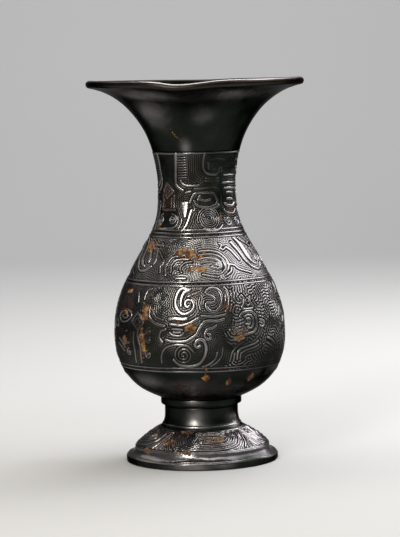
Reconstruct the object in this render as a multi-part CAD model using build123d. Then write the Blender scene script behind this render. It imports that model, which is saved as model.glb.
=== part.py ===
"""A cast bronze flower vase of archaic form, built of soldered sections.

Six castings stand one on another, mouth, neck, shoulder, belly, stem and foot, and a
seventh is the plate for a floor. Each seam is a half lap filled by a film of solder. Iron core pins
from the casting stay in the wall of the bowl. Millimetres, +Z up, origin at the centre
of the base.
"""

from build123d import *
import math
import os

# Foot, from the table up to the crease under the stem
rim_radius = 52.0
rim_height = 5.0
rim_rounding = 1.6
rim_width = 7.0
cove_width = 6.0
cove_height = 5.2
cove_depth = 0.9
skirt_step = 0.8
skirt_height = 13.3
skirt_crown = 0.7

# Stem, from the crease up to the collar that carries the bowl
stem_foot_radius = 28.8
stem_waist_radius = 25.1
stem_height = 15.5
collar_radius = 27.6
collar_wall = 3.9
collar_height = 4.8
collar_rounding = 0.9
collar_groove_width = 1.4
collar_groove_depth = 0.5

# Heights of the body's sections, each above the one below it
bowl_height = 24.2
belly_band_height = 57.0
shoulder_height = 31.0
neck_height = 55.8
mouth_height = 48.2

# Body outline: the belly and the neck's waist, and how far in or out the stations near them lie
belly_radius = 58.3
belly_rise = 20.0
bowl_inset = 3.3
bowl_turn_inset = 13.1
bowl_turn_rise = 10.2
shoulder_inset = 9.0
neck_waist_radius = 26.5
neck_waist_rise = 27.0
neck_foot_spread = 5.8
throat_spread = 3.3
lip_radius = 74.0
lip_thickness = 5.0

# Lean of the outline from the vertical at its stations, in degrees, outward positive
underside_lean = 66.0
bowl_turn_lean = 47.0
bowl_lean = 21.0
shoulder_lean = -27.0
neck_foot_lean = -29.0
throat_lean = 15.0
lip_lean = 78.0
curve_reach = 0.36

# Walls, floor and joints
wall = 3.0
floor_thickness = 3.0
floor_ledge = 2.3
tenon_wall = 3.0
socket_floor = 0.7
lap_length = 4.0
solder_film = 0.2

# Raised border threads that frame the ornament
thread_radius = 0.55
thread_rise = 0.35
thread_pitch = 2.4

# Iron core pins in the plain bowl
pin_side = 4.0
pin_count = 18
pin_drop = 7.5
pin_stagger = 2.4
pin_phase = -18.75

# Stations of the stack, each counted from the one below it
skirt_bottom = rim_height + cove_height
stem_bottom = skirt_bottom + skirt_height
collar_bottom = stem_bottom + stem_height
body_bottom = collar_bottom + collar_height
belly_border = body_bottom + bowl_height
shoulder_seam = belly_border + belly_band_height
neck_seam = shoulder_seam + shoulder_height
mouth_seam = neck_seam + neck_height
total_height = mouth_seam + mouth_height
lip_underside = total_height - lip_thickness

# Fits that follow from the sizes above
cove_top_radius = rim_radius - cove_width
socket_radius = collar_radius - collar_wall
tenon_radius = socket_radius - solder_film
tenon_bore = tenon_radius - tenon_wall
tenon_end = collar_bottom + socket_floor
floor_radius = tenon_bore + floor_ledge
stem_bore = stem_waist_radius - wall
stem_lap = stem_waist_radius - wall / 2

OUTLINE_SAMPLES = 36
TURN = 360.0


def at(radius, height):
    """A point of the half section."""
    return Vector(radius, 0, height)


def turned(*edges):
    """The solid that a closed half section sweeps about the axis."""
    return revolve(Face(Wire(edges)), axis=Axis.Z)


def ring(inner_low, outer_low, inner_high, outer_high, low, high):
    """A ring with straight sides, which may lean."""
    corners = [at(inner_low, low), at(outer_low, low), at(outer_high, high), at(inner_high, high)]
    return turned(*Polyline(*corners, close=True).edges())


def sleeve(radius, low, high):
    """An upright solder film round a cylinder of this radius."""
    return ring(radius, radius + solder_film, radius, radius + solder_film, low, high)


def offset_inward(curve, distance):
    """The curve moved towards the axis by a wall's thickness, measured square to it."""
    points = []
    for step in range(OUTLINE_SAMPLES + 1):
        share = step / OUTLINE_SAMPLES
        along = curve.tangent_at(share)
        points.append(curve.position_at(share) + Vector(-along.Z, 0, along.X) * distance)
    return points


def share_at(curve, height):
    """How far along a rising curve a height is reached, from 0 to 1."""
    low, high = 0.0, 1.0
    for _ in range(50):
        middle = (low + high) / 2
        if curve.position_at(middle).Z < height:
            low = middle
        else:
            high = middle
    return low


def leaning(degrees):
    """A direction that leans outward from the vertical by this many degrees."""
    angle = math.radians(degrees)
    return Vector(math.sin(angle), 0, math.cos(angle))


def flowing(stations):
    """Curves that pass through the stations, each at its own radius, height and lean."""
    curves = []
    for (radius, height, lean), (next_radius, next_height, next_lean) in zip(stations, stations[1:]):
        start, end = at(radius, height), at(next_radius, next_height)
        reach = curve_reach * (end - start).length
        curves.append(Bezier(start, start + leaning(lean) * reach, end - leaning(next_lean) * reach, end))
    return curves


# Body wall: the outline swells from the collar to the belly, draws in and opens as a trumpet
body_edges = flowing([
    (collar_radius, body_bottom, underside_lean),
    (belly_radius - bowl_turn_inset, body_bottom + bowl_turn_rise, bowl_turn_lean),
    (belly_radius - bowl_inset, belly_border, bowl_lean),
    (belly_radius, belly_border + belly_rise, 0),
    (belly_radius - shoulder_inset, shoulder_seam, shoulder_lean),
    (neck_waist_radius + neck_foot_spread, neck_seam, neck_foot_lean),
    (neck_waist_radius, neck_seam + neck_waist_rise, 0),
    (neck_waist_radius + throat_spread, mouth_seam, throat_lean),
    (lip_radius - lip_thickness / 2, lip_underside, lip_lean),
])
body_curve = Wire(body_edges)


def wall_radius(height):
    """Outer radius of the body wall at a height."""
    return body_curve.position_at(share_at(body_curve, height)).X


def wall_middle(height):
    """Radius halfway through the body wall at a height, on the level."""
    share = share_at(body_curve, height)
    along = body_curve.tangent_at(share)
    return body_curve.position_at(share).X - wall / 2 / along.Z * along.length


def body_wall():
    """Lip, mouth, neck, shoulder, belly and tenon as one hollow turned wall."""
    inner_points = offset_inward(body_curve, wall)
    lip_top = at(lip_radius - lip_thickness / 2, total_height)
    inner_points = inner_points[:-1] + [lip_top]
    inner_curve = Spline(*reversed(inner_points))
    lip = ThreePointArc(body_curve @ 1, at(lip_radius, total_height - lip_thickness / 2), lip_top)
    ledge = floor_radius + solder_film
    well = Polyline(
        inner_points[0],
        at(ledge, inner_points[0].Z),
        at(ledge, body_bottom),
        at(tenon_bore, body_bottom),
        at(tenon_bore, tenon_end),
        at(tenon_radius, tenon_end),
        at(tenon_radius, body_bottom),
        body_curve @ 0,
    )
    return turned(*body_edges, lip, inner_curve, *well.edges())


def lap_cut(seam):
    """The film of a half lap above a seam, and the space above the seam outside the film."""
    top = seam + lap_length
    low, high = wall_middle(seam), wall_middle(top)
    half = solder_film / 2
    film = ring(low - half, low + half, high - half, high + half, seam, top)
    reach = 2 * lip_radius
    outside = ring(low + half, reach, high + half, reach, seam, top)
    over = ring(0, reach, 0, reach, top, total_height + wall)
    return film, outside + over


def thread(height):
    """A raised border thread round the body wall."""
    centre = at(wall_radius(height) + thread_rise - thread_radius, height)
    return revolve(Plane.XZ * Pos(centre.X, centre.Z) * Circle(thread_radius), axis=Axis.Z)


def pin(angle, height):
    """A square core pin, set cornerwise through the wall of the bowl and square to it."""
    share = share_at(body_curve, height)
    along = body_curve.tangent_at(share)
    facing = Vector(along.Z, 0, -along.X)
    seat = Plane(body_curve.position_at(share), x_dir=(0, 1, 0), z_dir=facing)
    blank = extrude(seat * Rot(0, 0, 45) * Rectangle(pin_side, pin_side), 2 * wall, both=True)
    return Rot(0, 0, angle) * blank


def pins():
    """The ring of core pins, one low and one high in turn, counted from the front."""
    step = TURN / pin_count
    front = -90 + pin_phase
    middle = belly_border - pin_drop
    made = []
    for index in range(pin_count):
        sway = -pin_stagger if index % 2 == 0 else pin_stagger
        made.append(pin(front + step * index, middle + sway))
    return Compound(made)


def sections():
    """The body wall cut at its seams into castings and solder films."""
    made = {}
    rest = body_wall()
    seams = [
        ("belly_bowl", "shoulder_solder", shoulder_seam),
        ("shoulder_shell", "neck_solder", neck_seam),
        ("neck_sleeve", "mouth_solder", mouth_seam),
    ]
    for casting, solder, seam in seams:
        film, above = lap_cut(seam)
        made[solder] = rest & film
        made[casting] = rest - film - above
        rest = rest & above
    made["mouth_flare"] = rest
    return made


def with_threads(casting, heights):
    """A casting with its border threads."""
    for height in heights:
        casting = casting + thread(height)
    return casting


# The castings of the body, with the threads that frame each ornament band
parts = sections()
half_pitch = thread_pitch / 2
parts["neck_sleeve"] = with_threads(
    parts["neck_sleeve"], (mouth_seam - half_pitch, neck_seam + 3 * half_pitch, neck_seam + half_pitch)
)
parts["shoulder_shell"] = with_threads(
    parts["shoulder_shell"], (neck_seam - half_pitch, shoulder_seam + half_pitch)
)
parts["belly_bowl"] = with_threads(
    parts["belly_bowl"], (shoulder_seam - half_pitch, belly_border + half_pitch, belly_border - half_pitch)
)

# Iron pins fill square holes through the bowl
bowl = parts["belly_bowl"]
pin_blanks = pins()
parts["core_pins"] = bowl & pin_blanks
parts["belly_bowl"] = bowl - pin_blanks

# Floor plate, let into the ledge of the bowl and soldered round its edge
ledge_top = offset_inward(body_curve, wall)[0].Z
parts["vessel_floor"] = Pos(0, 0, body_bottom) * Cylinder(
    floor_radius, floor_thickness, align=(Align.CENTER, Align.CENTER, Align.MIN)
)
parts["floor_solder"] = sleeve(floor_radius, body_bottom, min(ledge_top, body_bottom + floor_thickness))

# The skirt's slope sets how the stem flares where they meet
skirt_lean = math.degrees(math.atan2(cove_top_radius - stem_foot_radius, skirt_height))


def stem():
    """Waisted stem with a rounded collar on top, a groove under it and a lap below."""
    waist = collar_bottom - collar_groove_width
    groove_floor = stem_waist_radius - collar_groove_depth
    side = Spline(
        at(stem_foot_radius, stem_bottom),
        at(stem_waist_radius, waist),
        tangents=(leaning(-skirt_lean), leaning(0)),
    )
    groove = ThreePointArc(
        at(stem_waist_radius, waist),
        at(groove_floor, collar_bottom - collar_groove_width / 2),
        at(stem_waist_radius, collar_bottom),
    )
    edge = ThreePointArc(
        at(collar_radius - collar_rounding, collar_bottom),
        at(
            collar_radius - collar_rounding * (1 - math.sqrt(0.5)),
            collar_bottom + collar_rounding * (1 - math.sqrt(0.5)),
        ),
        at(collar_radius, collar_bottom + collar_rounding),
    )
    outline = Polyline(
        edge @ 1,
        at(collar_radius, body_bottom),
        at(socket_radius, body_bottom),
        at(socket_radius, tenon_end),
        at(stem_bore, tenon_end),
        at(stem_bore, stem_bottom + lap_length),
        at(stem_lap + solder_film, stem_bottom + lap_length),
        at(stem_lap + solder_film, stem_bottom),
        side @ 0,
    )
    under_collar = Line(groove @ 1, edge @ 0)
    return turned(side, groove, under_collar, edge, *outline.edges())


def skirt():
    """Spreading foot: crowned slope, step, cove and thick rim, hollow below."""
    slope_bottom = at(cove_top_radius, skirt_bottom + skirt_step)
    slope_top = at(stem_foot_radius, stem_bottom)
    across = slope_top - slope_bottom
    square = Vector(across.Z, 0, -across.X).normalized()
    slope = ThreePointArc(slope_bottom, (slope_bottom + slope_top) / 2 + square * skirt_crown, slope_top)
    rim_top = at(rim_radius - rim_rounding, rim_height)
    cove_end = at(cove_top_radius, skirt_bottom)
    fall = cove_end - rim_top
    cove_square = Vector(fall.Z, 0, -fall.X).normalized()
    cove = ThreePointArc(rim_top, (rim_top + cove_end) / 2 - cove_square * cove_depth, cove_end)
    corner = rim_rounding * (1 - math.sqrt(0.5))
    rim_edge = ThreePointArc(
        at(rim_radius, rim_height - rim_rounding),
        at(rim_radius - corner, rim_height - corner),
        rim_top,
    )
    inner_foot = rim_radius - rim_width
    inside = Polyline(
        slope_top,
        at(stem_lap, stem_bottom),
        at(stem_lap, stem_bottom + lap_length),
        at(stem_bore, stem_bottom + lap_length),
        at(stem_bore, stem_bottom - wall),
        slope_bottom - square * wall,
        at(inner_foot, 0),
        at(rim_radius, 0),
        rim_edge @ 0,
    )
    riser = Line(cove_end, slope_bottom)
    return turned(rim_edge, cove, riser, slope, *inside.edges())


parts["foot_stem"] = stem()
parts["foot_skirt"] = skirt()
parts["stem_solder"] = sleeve(tenon_radius, tenon_end, body_bottom)
parts["foot_solder"] = sleeve(stem_lap, stem_bottom, stem_bottom + lap_length)

os.makedirs("parts", exist_ok=True)
for name, shape in parts.items():
    export_step(Compound(shape.solids()), f"parts/{name}.step")
    box = shape.bounding_box()
    print(name, len(shape.solids()), "solids", round(shape.volume), "mm3", round(box.min.Z, 2), round(box.max.Z, 2))
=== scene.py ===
# %% [markdown]
# A cast bronze vase with carved bands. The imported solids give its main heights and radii, so this
# lesson only dresses them: each casting is turned again as a fine mesh, its ornament is cut into
# that mesh as real relief, and the patina is built from shader nodes.

# %% Load the frame and keep its box
import math

import bpy
import numpy as np
from mathutils import Matrix, Vector


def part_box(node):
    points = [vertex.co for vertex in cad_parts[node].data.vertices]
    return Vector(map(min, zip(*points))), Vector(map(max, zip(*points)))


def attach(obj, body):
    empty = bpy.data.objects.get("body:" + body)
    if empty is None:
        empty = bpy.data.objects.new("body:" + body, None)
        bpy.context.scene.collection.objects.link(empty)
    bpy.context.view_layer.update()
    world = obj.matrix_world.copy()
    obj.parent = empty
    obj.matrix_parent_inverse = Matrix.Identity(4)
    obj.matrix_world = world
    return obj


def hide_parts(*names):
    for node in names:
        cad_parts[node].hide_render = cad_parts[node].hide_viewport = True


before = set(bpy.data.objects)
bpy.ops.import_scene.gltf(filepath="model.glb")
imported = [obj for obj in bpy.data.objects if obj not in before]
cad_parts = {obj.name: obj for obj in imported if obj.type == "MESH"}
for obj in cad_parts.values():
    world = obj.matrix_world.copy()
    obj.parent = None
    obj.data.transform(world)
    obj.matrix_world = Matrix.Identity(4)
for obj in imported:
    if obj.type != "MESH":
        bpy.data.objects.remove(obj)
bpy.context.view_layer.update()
MM = 0.001

# %% [markdown]
# The outline is the vase's most important shape. It could be traced as one long spline, but then
# moving one point bends its neighbours. Here each station has a radius, a height and a lean, and
# short cubic curves join them, so every station can be set by itself. Heights and the widest
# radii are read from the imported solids, so that the dress cannot drift from the body.

# %% Outline of the body wall
body_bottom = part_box("foot_stem")[1].z
shoulder_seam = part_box("shoulder_shell")[0].z
neck_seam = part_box("neck_sleeve")[0].z
mouth_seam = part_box("mouth_flare")[0].z
total_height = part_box("mouth_flare")[1].z
stem_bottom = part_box("foot_stem")[0].z
lap_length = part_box("neck_sleeve")[1].z - mouth_seam
belly_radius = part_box("belly_bowl")[1].x
lip_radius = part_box("mouth_flare")[1].x
belly_border = body_bottom + 24.2 * MM
collar_radius = 27.6 * MM
waist_radius = 26.5 * MM
lip_thickness = 5.0 * MM
lip_start = total_height - lip_thickness
bowl_turn_inset, bowl_turn_rise = 13.1 * MM, 10.2 * MM
bowl_inset, widest_rise = 3.3 * MM, 20 * MM
shoulder_inset, neck_foot_spread = 9 * MM, 5.8 * MM
waist_rise, throat_spread = 27 * MM, 3.3 * MM


def leaning(degrees):
    """A direction of radius and height that leans outward from the vertical."""
    return np.array([math.sin(math.radians(degrees)), math.cos(math.radians(degrees))])


def flowing(stations, steps=160, reach=0.36):
    """Points of short cubic curves that join (radius, height, lean) stations, without the last one."""
    share = np.linspace(0, 1, steps)[:-1, None]
    back = 1 - share
    runs = []
    for (*start, lean_out), (*end, lean_in) in zip(stations, stations[1:]):
        start, end = np.array(start), np.array(end)
        pull = reach * np.hypot(*(end - start))
        out, into = start + pull * leaning(lean_out), end - pull * leaning(lean_in)
        curve = back**3 * start + 3 * back**2 * share * out
        runs.append(curve + 3 * back * share**2 * into + share**3 * end)
    return np.concatenate(runs)


body_stations = [
    (collar_radius, body_bottom, 66),
    (belly_radius - bowl_turn_inset, body_bottom + bowl_turn_rise, 47),
    (belly_radius - bowl_inset, belly_border, 21),
    (belly_radius, belly_border + widest_rise, 0),
    (belly_radius - shoulder_inset, shoulder_seam, -27),
    (waist_radius + neck_foot_spread, neck_seam, -29),
    (waist_radius, neck_seam + waist_rise, 0),
    (waist_radius + throat_spread, mouth_seam, 15),
    (lip_radius - lip_thickness / 2, lip_start, 78),
]
outer_curve = np.concatenate([flowing(body_stations), [body_stations[-1][:2]]])
print("outline from", np.round(outer_curve[0] / MM, 1), "to", np.round(outer_curve[-1] / MM, 1))

# %% [markdown]
# The inner face lies one wall's thickness inside the outer one, measured square to it, and the wall
# swells towards the lip. A few helpers read radii from these two curves: the castings meet in
# half laps, so the middle of the wall is needed too.

# %% Inner face and points of a curve
wall = 3.0 * MM
half_film = 0.1 * MM
lip_swell, lip_swell_length = 2 * MM, 9 * MM


def square_to(curve):
    """Unit normals of a rising curve of radii and heights, turned outward."""
    along = np.gradient(curve, axis=0)
    along /= np.linalg.norm(along, axis=1)[:, None]
    return np.stack([along[:, 1], -along[:, 0]], axis=1)


def eased(value, low, high):
    """0 below low, 1 above high, and a soft step between."""
    share = np.clip((value - low) / (high - low), 0, 1)
    return share * share * (3 - 2 * share)


swelling = lip_swell * eased(outer_curve[:, 1], lip_start - lip_swell_length, lip_start)
inner_curve = outer_curve - square_to(outer_curve) * (wall + swelling)[:, None]


def radius_at(height):
    """Outer radius of the body wall."""
    return np.interp(height, outer_curve[:, 1], outer_curve[:, 0])


def middle_at(height):
    """Radius halfway through the wall on the level, where the half laps run."""
    inside = np.interp(height, inner_curve[:, 1], inner_curve[:, 0])
    return (radius_at(height) + inside) / 2


def run_of(curve, low, high, spacing):
    """Evenly spaced points of a curve between two heights."""
    step = np.hypot(*np.diff(curve, axis=0).T)
    length = np.concatenate([[0], np.cumsum(step)])
    first, last = np.interp([low, high], curve[:, 1], length)
    places = np.linspace(first, last, max(2, round((last - first) / spacing) + 1))
    return np.stack([np.interp(places, length, side) for side in curve.T], axis=1)


print("inside from", np.round(inner_curve[0] / MM, 1), "to", np.round(inner_curve[-1] / MM, 1))

# %% [markdown]
# The camera stands where the photograph was taken from: level with the lip and a good step away,
# so that the lip is seen edge on while the rings below it open more and more towards the foot.
# The picture is turned by about a degree, and the same roll is given to the camera.

# %% Camera
PICTURE_HEIGHT = 537
focal_pixels = 2276
eye = Vector((0.0, -1.550, 0.262))
aim = Vector((0.001, 0.0, 0.1310))
roll = math.radians(1.2)

camera = bpy.data.objects.new("camera", bpy.data.cameras.new("camera"))
camera.data.sensor_fit = "VERTICAL"
camera.data.sensor_height = 36
camera.data.lens = focal_pixels * camera.data.sensor_height / PICTURE_HEIGHT
camera.data.clip_end = 50
looking = (aim - eye).to_track_quat("-Z", "Y").to_matrix().to_4x4()
camera.matrix_world = Matrix.Translation(eye) @ looking @ Matrix.Rotation(-roll, 4, "Z")
bpy.context.collection.objects.link(camera)
bpy.context.scene.camera = camera
bpy.context.scene.view_settings.view_transform = "Standard"
print("lens", round(camera.data.lens, 1), "mm")

# %% [markdown]
# A pale sweep of paper stands under and behind the vase. It could be a flat floor and a wall, but
# then a hard line would cross the picture, so the floor bends up into the wall in one curve.

# %% Paper sweep
def paper_material():
    """Pale matt paper with a faint mottle."""
    material = bpy.data.materials.new("studio paper")
    material.use_nodes = True
    nodes, links = material.node_tree.nodes, material.node_tree.links
    surface = nodes["Principled BSDF"]
    surface.inputs["Roughness"].default_value = 0.9
    mottle = nodes.new("ShaderNodeTexNoise")
    mottle.inputs["Scale"].default_value = 6
    tone = nodes.new("ShaderNodeValToRGB")
    tone.color_ramp.elements[0].color = (0.37, 0.369, 0.363, 1)
    tone.color_ramp.elements[1].color = (0.40, 0.398, 0.392, 1)
    links.new(mottle.outputs["Fac"], tone.inputs["Fac"])
    links.new(tone.outputs["Color"], surface.inputs["Base Color"])
    return material


def paper_sweep():
    """A floor that bends up into a wall behind the vase."""
    front, back, bend, top, side = -9.0, 2.6, 0.9, 3.2, 14.0
    line = [(front, 0.0), (back - bend, 0.0)]
    for turn in np.linspace(0.1, 1.5, 14):
        line.append((back - bend + bend * math.sin(turn), bend - bend * math.cos(turn)))
    line.append((back, top))
    points = [(x, y, z) for y, z in line for x in (-side, side)]
    faces = [(2 * i, 2 * i + 1, 2 * i + 3, 2 * i + 2) for i in range(len(line) - 1)]
    mesh = bpy.data.meshes.new("paper_sweep")
    mesh.from_pydata(points, [], faces)
    mesh.shade_smooth()
    mesh.materials.append(paper_material())
    sweep = bpy.data.objects.new("paper_sweep", mesh)
    bpy.context.collection.objects.link(sweep)
    print("paper sweep of", len(faces), "faces")


paper_sweep()

# %% [markdown]
# A dark glossy thing shows its lamps more than its own colour, so the soft boxes are placed where
# their reflections fall on the photograph's highlights: a wide panel high on the right with a
# smaller box behind it, a strip overhead for the lip, one on the left of the front and one behind
# the right edge. A weak panel over the front and a weaker box at the left rear lift the shadows.
# The tints differ a little, cool on the right and on the paper, and warm elsewhere. The last lamp
# faces the paper behind and leaves the vase alone.

# %% Lamps
def soft_box(name, place, target, width, height, watts, colour):
    """A rectangular lamp that faces a target."""
    lamp = bpy.data.lights.new(name, "AREA")
    lamp.shape = "RECTANGLE"
    lamp.size, lamp.size_y = width, height
    lamp.energy = watts
    lamp.color = colour
    holder = bpy.data.objects.new(name, lamp)
    facing = (Vector(target) - Vector(place)).to_track_quat("-Z", "Y").to_matrix().to_4x4()
    holder.matrix_world = Matrix.Translation(Vector(place)) @ facing
    bpy.context.collection.objects.link(holder)


middle = (0, 0, 0.13)
cool = (0.97, 0.97, 1.0)
warm = (1.0, 0.96, 0.88)
soft_box("overhead panel", (0.76, 0.00, 0.92), middle, 1.00, 0.60, 9.6, cool)
soft_box("rear box", (0.52, 0.60, 0.90), middle, 0.75, 0.75, 7.2, cool)
soft_box("top strip", (-0.10, 0.20, 1.25), middle, 1.00, 0.34, 7.0, warm)
soft_box("left strip", (-0.50, -1.02, 0.64), middle, 0.26, 0.80, 12, warm)
soft_box("right edge strip", (0.98, 0.60, 0.60), middle, 0.26, 0.75, 4.6, cool)
soft_box("front panel", (0.20, -0.64, 1.08), middle, 0.60, 0.45, 3.2, warm)
soft_box("left rear box", (-0.70, 0.40, 0.72), middle, 0.60, 0.60, 1.0, warm)
soft_box("backdrop lamp", (0.0, 0.9, 1.9), (0, 2.6, 0.7), 1.6, 0.5, 46, cool)

world = bpy.data.worlds.new("studio")
world.use_nodes = True
world.node_tree.nodes["Background"].inputs["Color"].default_value = (0.16, 0.165, 0.17, 1)
bpy.context.scene.world = world

# %% [markdown]
# Every casting is a ring with a closed cross-section: the outer face, the lap or edge at the top,
# the inner face and the lap or edge at the bottom. Turning that loop gives a grid of rows and
# columns that closes on itself both ways, so no face is left open. The grid can be cut open and
# laid flat as it is, which gives the ring its map.

# %% A ring and its map
def turns_of(columns):
    """Angles of the columns in radians, counted from the front towards the right."""
    return np.arange(columns) / columns * 2 * math.pi


def around_axis(radius, height, columns):
    """Points in space of rows that are turned about the vase's axis."""
    angle = turns_of(columns)
    across = radius * np.sin(angle)
    return np.stack([across, -radius * np.cos(angle), np.broadcast_to(height, across.shape)], axis=-1)


def ring_mesh(name, points):
    """A mesh of rows and columns of points that closes on itself both ways."""
    rows, columns = points.shape[:2]
    row, column = np.indices((rows, columns))
    next_row, next_column = (row + 1) % rows, (column + 1) % columns
    corners = [(row, column), (row, next_column), (next_row, next_column), (next_row, column)]
    faces = np.stack([down * columns + along for down, along in corners], axis=-1).reshape(-1, 4)
    mesh = bpy.data.meshes.new(name)
    mesh.vertices.add(rows * columns)
    mesh.vertices.foreach_set("co", points.ravel())
    mesh.loops.add(faces.size)
    mesh.loops.foreach_set("vertex_index", faces.ravel())
    mesh.polygons.add(len(faces))
    mesh.polygons.foreach_set("loop_start", np.arange(len(faces)) * 4)
    mesh.update(calc_edges=True)
    mesh.shade_smooth()
    return mesh


def lay_flat(mesh, section, columns):
    """A map of the ring, cut open and laid flat, onto which its finish can be baked."""
    row, column = np.indices((len(section), columns))
    girth = 2 * math.pi * section[:, 0].max()
    step = np.hypot(*(np.roll(section, -1, axis=0) - section).T)
    along = np.concatenate([[0], np.cumsum(step)])
    scale = max(girth, along[-1])
    sideways = np.stack([column, column + 1, column + 1, column], axis=-1) / columns * girth / scale
    upward = np.stack([along[row], along[row], along[row + 1], along[row + 1]], axis=-1) / scale
    layer = mesh.uv_layers.new(name="OFBake")
    layer.data.foreach_set("uv", np.stack([sideways, upward], axis=-1).ravel())


print("rings start at", np.round(around_axis(belly_radius, belly_border, 4)[0] / MM, 1), "mm")

# %% [markdown]
# Relief is a number for each point of the grid, and moves it along the wall's own normal. Marks are
# more such numbers, kept on the mesh for the shader: how rubbed, flaked or reddish a place is. The
# rubbed shine also carries painted highlights and painted shade.

# %% Turning a section
def turned_piece(name, node, section, columns, relief, marks, lift=None, inside_from=None):
    """A closed ring from a section of radii and heights, with relief in metres and marks."""
    rows = len(section)
    loop = np.concatenate([section[-1:], section, section[:1]])
    across = loop[2:] - loop[:-2]
    across /= np.linalg.norm(across, axis=1)[:, None] + 1e-12
    normal = np.stack([across[:, 1], -across[:, 0]], axis=1)
    radius = section[:, :1] + relief * normal[:, :1]
    height = section[:, 1:] + relief * normal[:, 1:]
    if lift is not None:
        height = height + lift(np.degrees(turns_of(columns)), section)
    mesh = ring_mesh(name, around_axis(radius, height, columns))
    lay_flat(mesh, section, columns)
    for mark, values in marks.items():
        spread = np.broadcast_to(values, (rows, columns)).astype(np.float32)
        mesh.attributes.new(mark, "FLOAT", "POINT").data.foreach_set("value", spread.ravel())
    if inside_from is not None:
        inside = np.broadcast_to((np.arange(rows) >= inside_from)[:, None], (rows, columns))
        mesh.polygons.foreach_set("material_index", inside.astype(np.int32).ravel())
    piece = bpy.data.objects.new(name, mesh)
    bpy.context.collection.objects.link(piece)
    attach(piece, "root")
    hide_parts(node)
    print(name, rows * columns, "points")
    return piece


inner_spacing = 4 * MM


def below_lap(seam):
    """The section of the lap under a seam's upper casting, from its inner edge to its outer one."""
    top = seam + lap_length
    return np.array([(middle_at(top) + half_film, top), (middle_at(seam) + half_film, seam)])


def above_lap(seam):
    """The section of the spigot over a seam's lower casting, from its outer edge to its inner one."""
    top = seam + lap_length
    return np.array([(middle_at(seam) - half_film, seam), (middle_at(top) - half_film, top)])


def lapped_section(run, low_seam, high_seam):
    """The closed section of a casting between two seams: outer run, spigot, inner face and lap."""
    inside = run_of(inner_curve, low_seam + lap_length, high_seam + lap_length, inner_spacing)
    return np.concatenate([run, above_lap(high_seam), inside[::-1], below_lap(low_seam)])


print("laps are", round(lap_length / MM, 1), "mm long")

# %% [markdown]
# Carving starts from lines. Most are a few given points, with a smooth curve through them. A
# spiral would need many points, so it is a formula instead. Clouds of crossing waves give the slow
# unevenness of things made by hand, and are seeded, so that they come out the same.

# %% Lines and clouds
def smooth_line(points, steps=9):
    """A curve through given (angle, height) points."""
    points = np.asarray(points, float)
    if len(points) == 2:
        return np.linspace(points[0], points[1], 3)
    ends = np.concatenate([[2 * points[0] - points[1]], points, [2 * points[-1] - points[-2]]])
    share = np.linspace(0, 1, steps, endpoint=False)[:, None]
    pieces = []
    for before, start, end, after in zip(ends, ends[1:], ends[2:], ends[3:]):
        bend = (2 * before - 5 * start + 4 * end - after) * share**2
        twist = (3 * start - before - 3 * end + after) * share**3
        pieces.append(0.5 * (2 * start + (end - before) * share + bend + twist))
    return np.concatenate(pieces + [points[-1:]])


def volute(centre, reach, turns, start, hand=1, core=0.12, degree_mm=1.0, steps=22):
    """A spiral of (angle, height) points that winds in from its reach, in mm, to a share of it."""
    share = np.linspace(0, 1, max(8, round(turns * steps)))
    sweep = math.radians(start) + hand * 2 * math.pi * turns * share
    radius = reach * (1 - (1 - core) * share**0.9)
    angle = centre[0] + radius * np.cos(sweep) / degree_mm
    return np.stack([angle, centre[1] + radius * np.sin(sweep)], axis=1)


def cloud(points, size, seed):
    """Soft seeded noise from -1 to 1 over points in space, made of crossing waves."""
    dice = np.random.default_rng(seed)
    total = np.zeros(points.shape[:-1])
    for octave in range(3):
        for _ in range(5):
            direction = dice.normal(size=3)
            direction *= 2 * math.pi * 2**octave / size / np.linalg.norm(direction)
            total += np.sin(points @ direction + dice.uniform(0, 2 * math.pi)) / 2**octave
    return np.clip(total / 5, -1, 1)


print("a smooth line of 4 points has", len(smooth_line([(0, 0), (1, 2), (3, 2), (4, 0)])))

# %% [markdown]
# A band is carved with two tools. The first is a cutter, which follows a line and leaves a ridge
# with a flat top. A ridge could be drawn on a flat sheet and wrapped round the vase, but it would
# stretch. The cutter measures distances in space, so a spiral stays round on the belly as well as
# on the sloping foot.

# %% Carved band
FAR_MM, NEAR_MM = 9.0, 7.0


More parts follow.
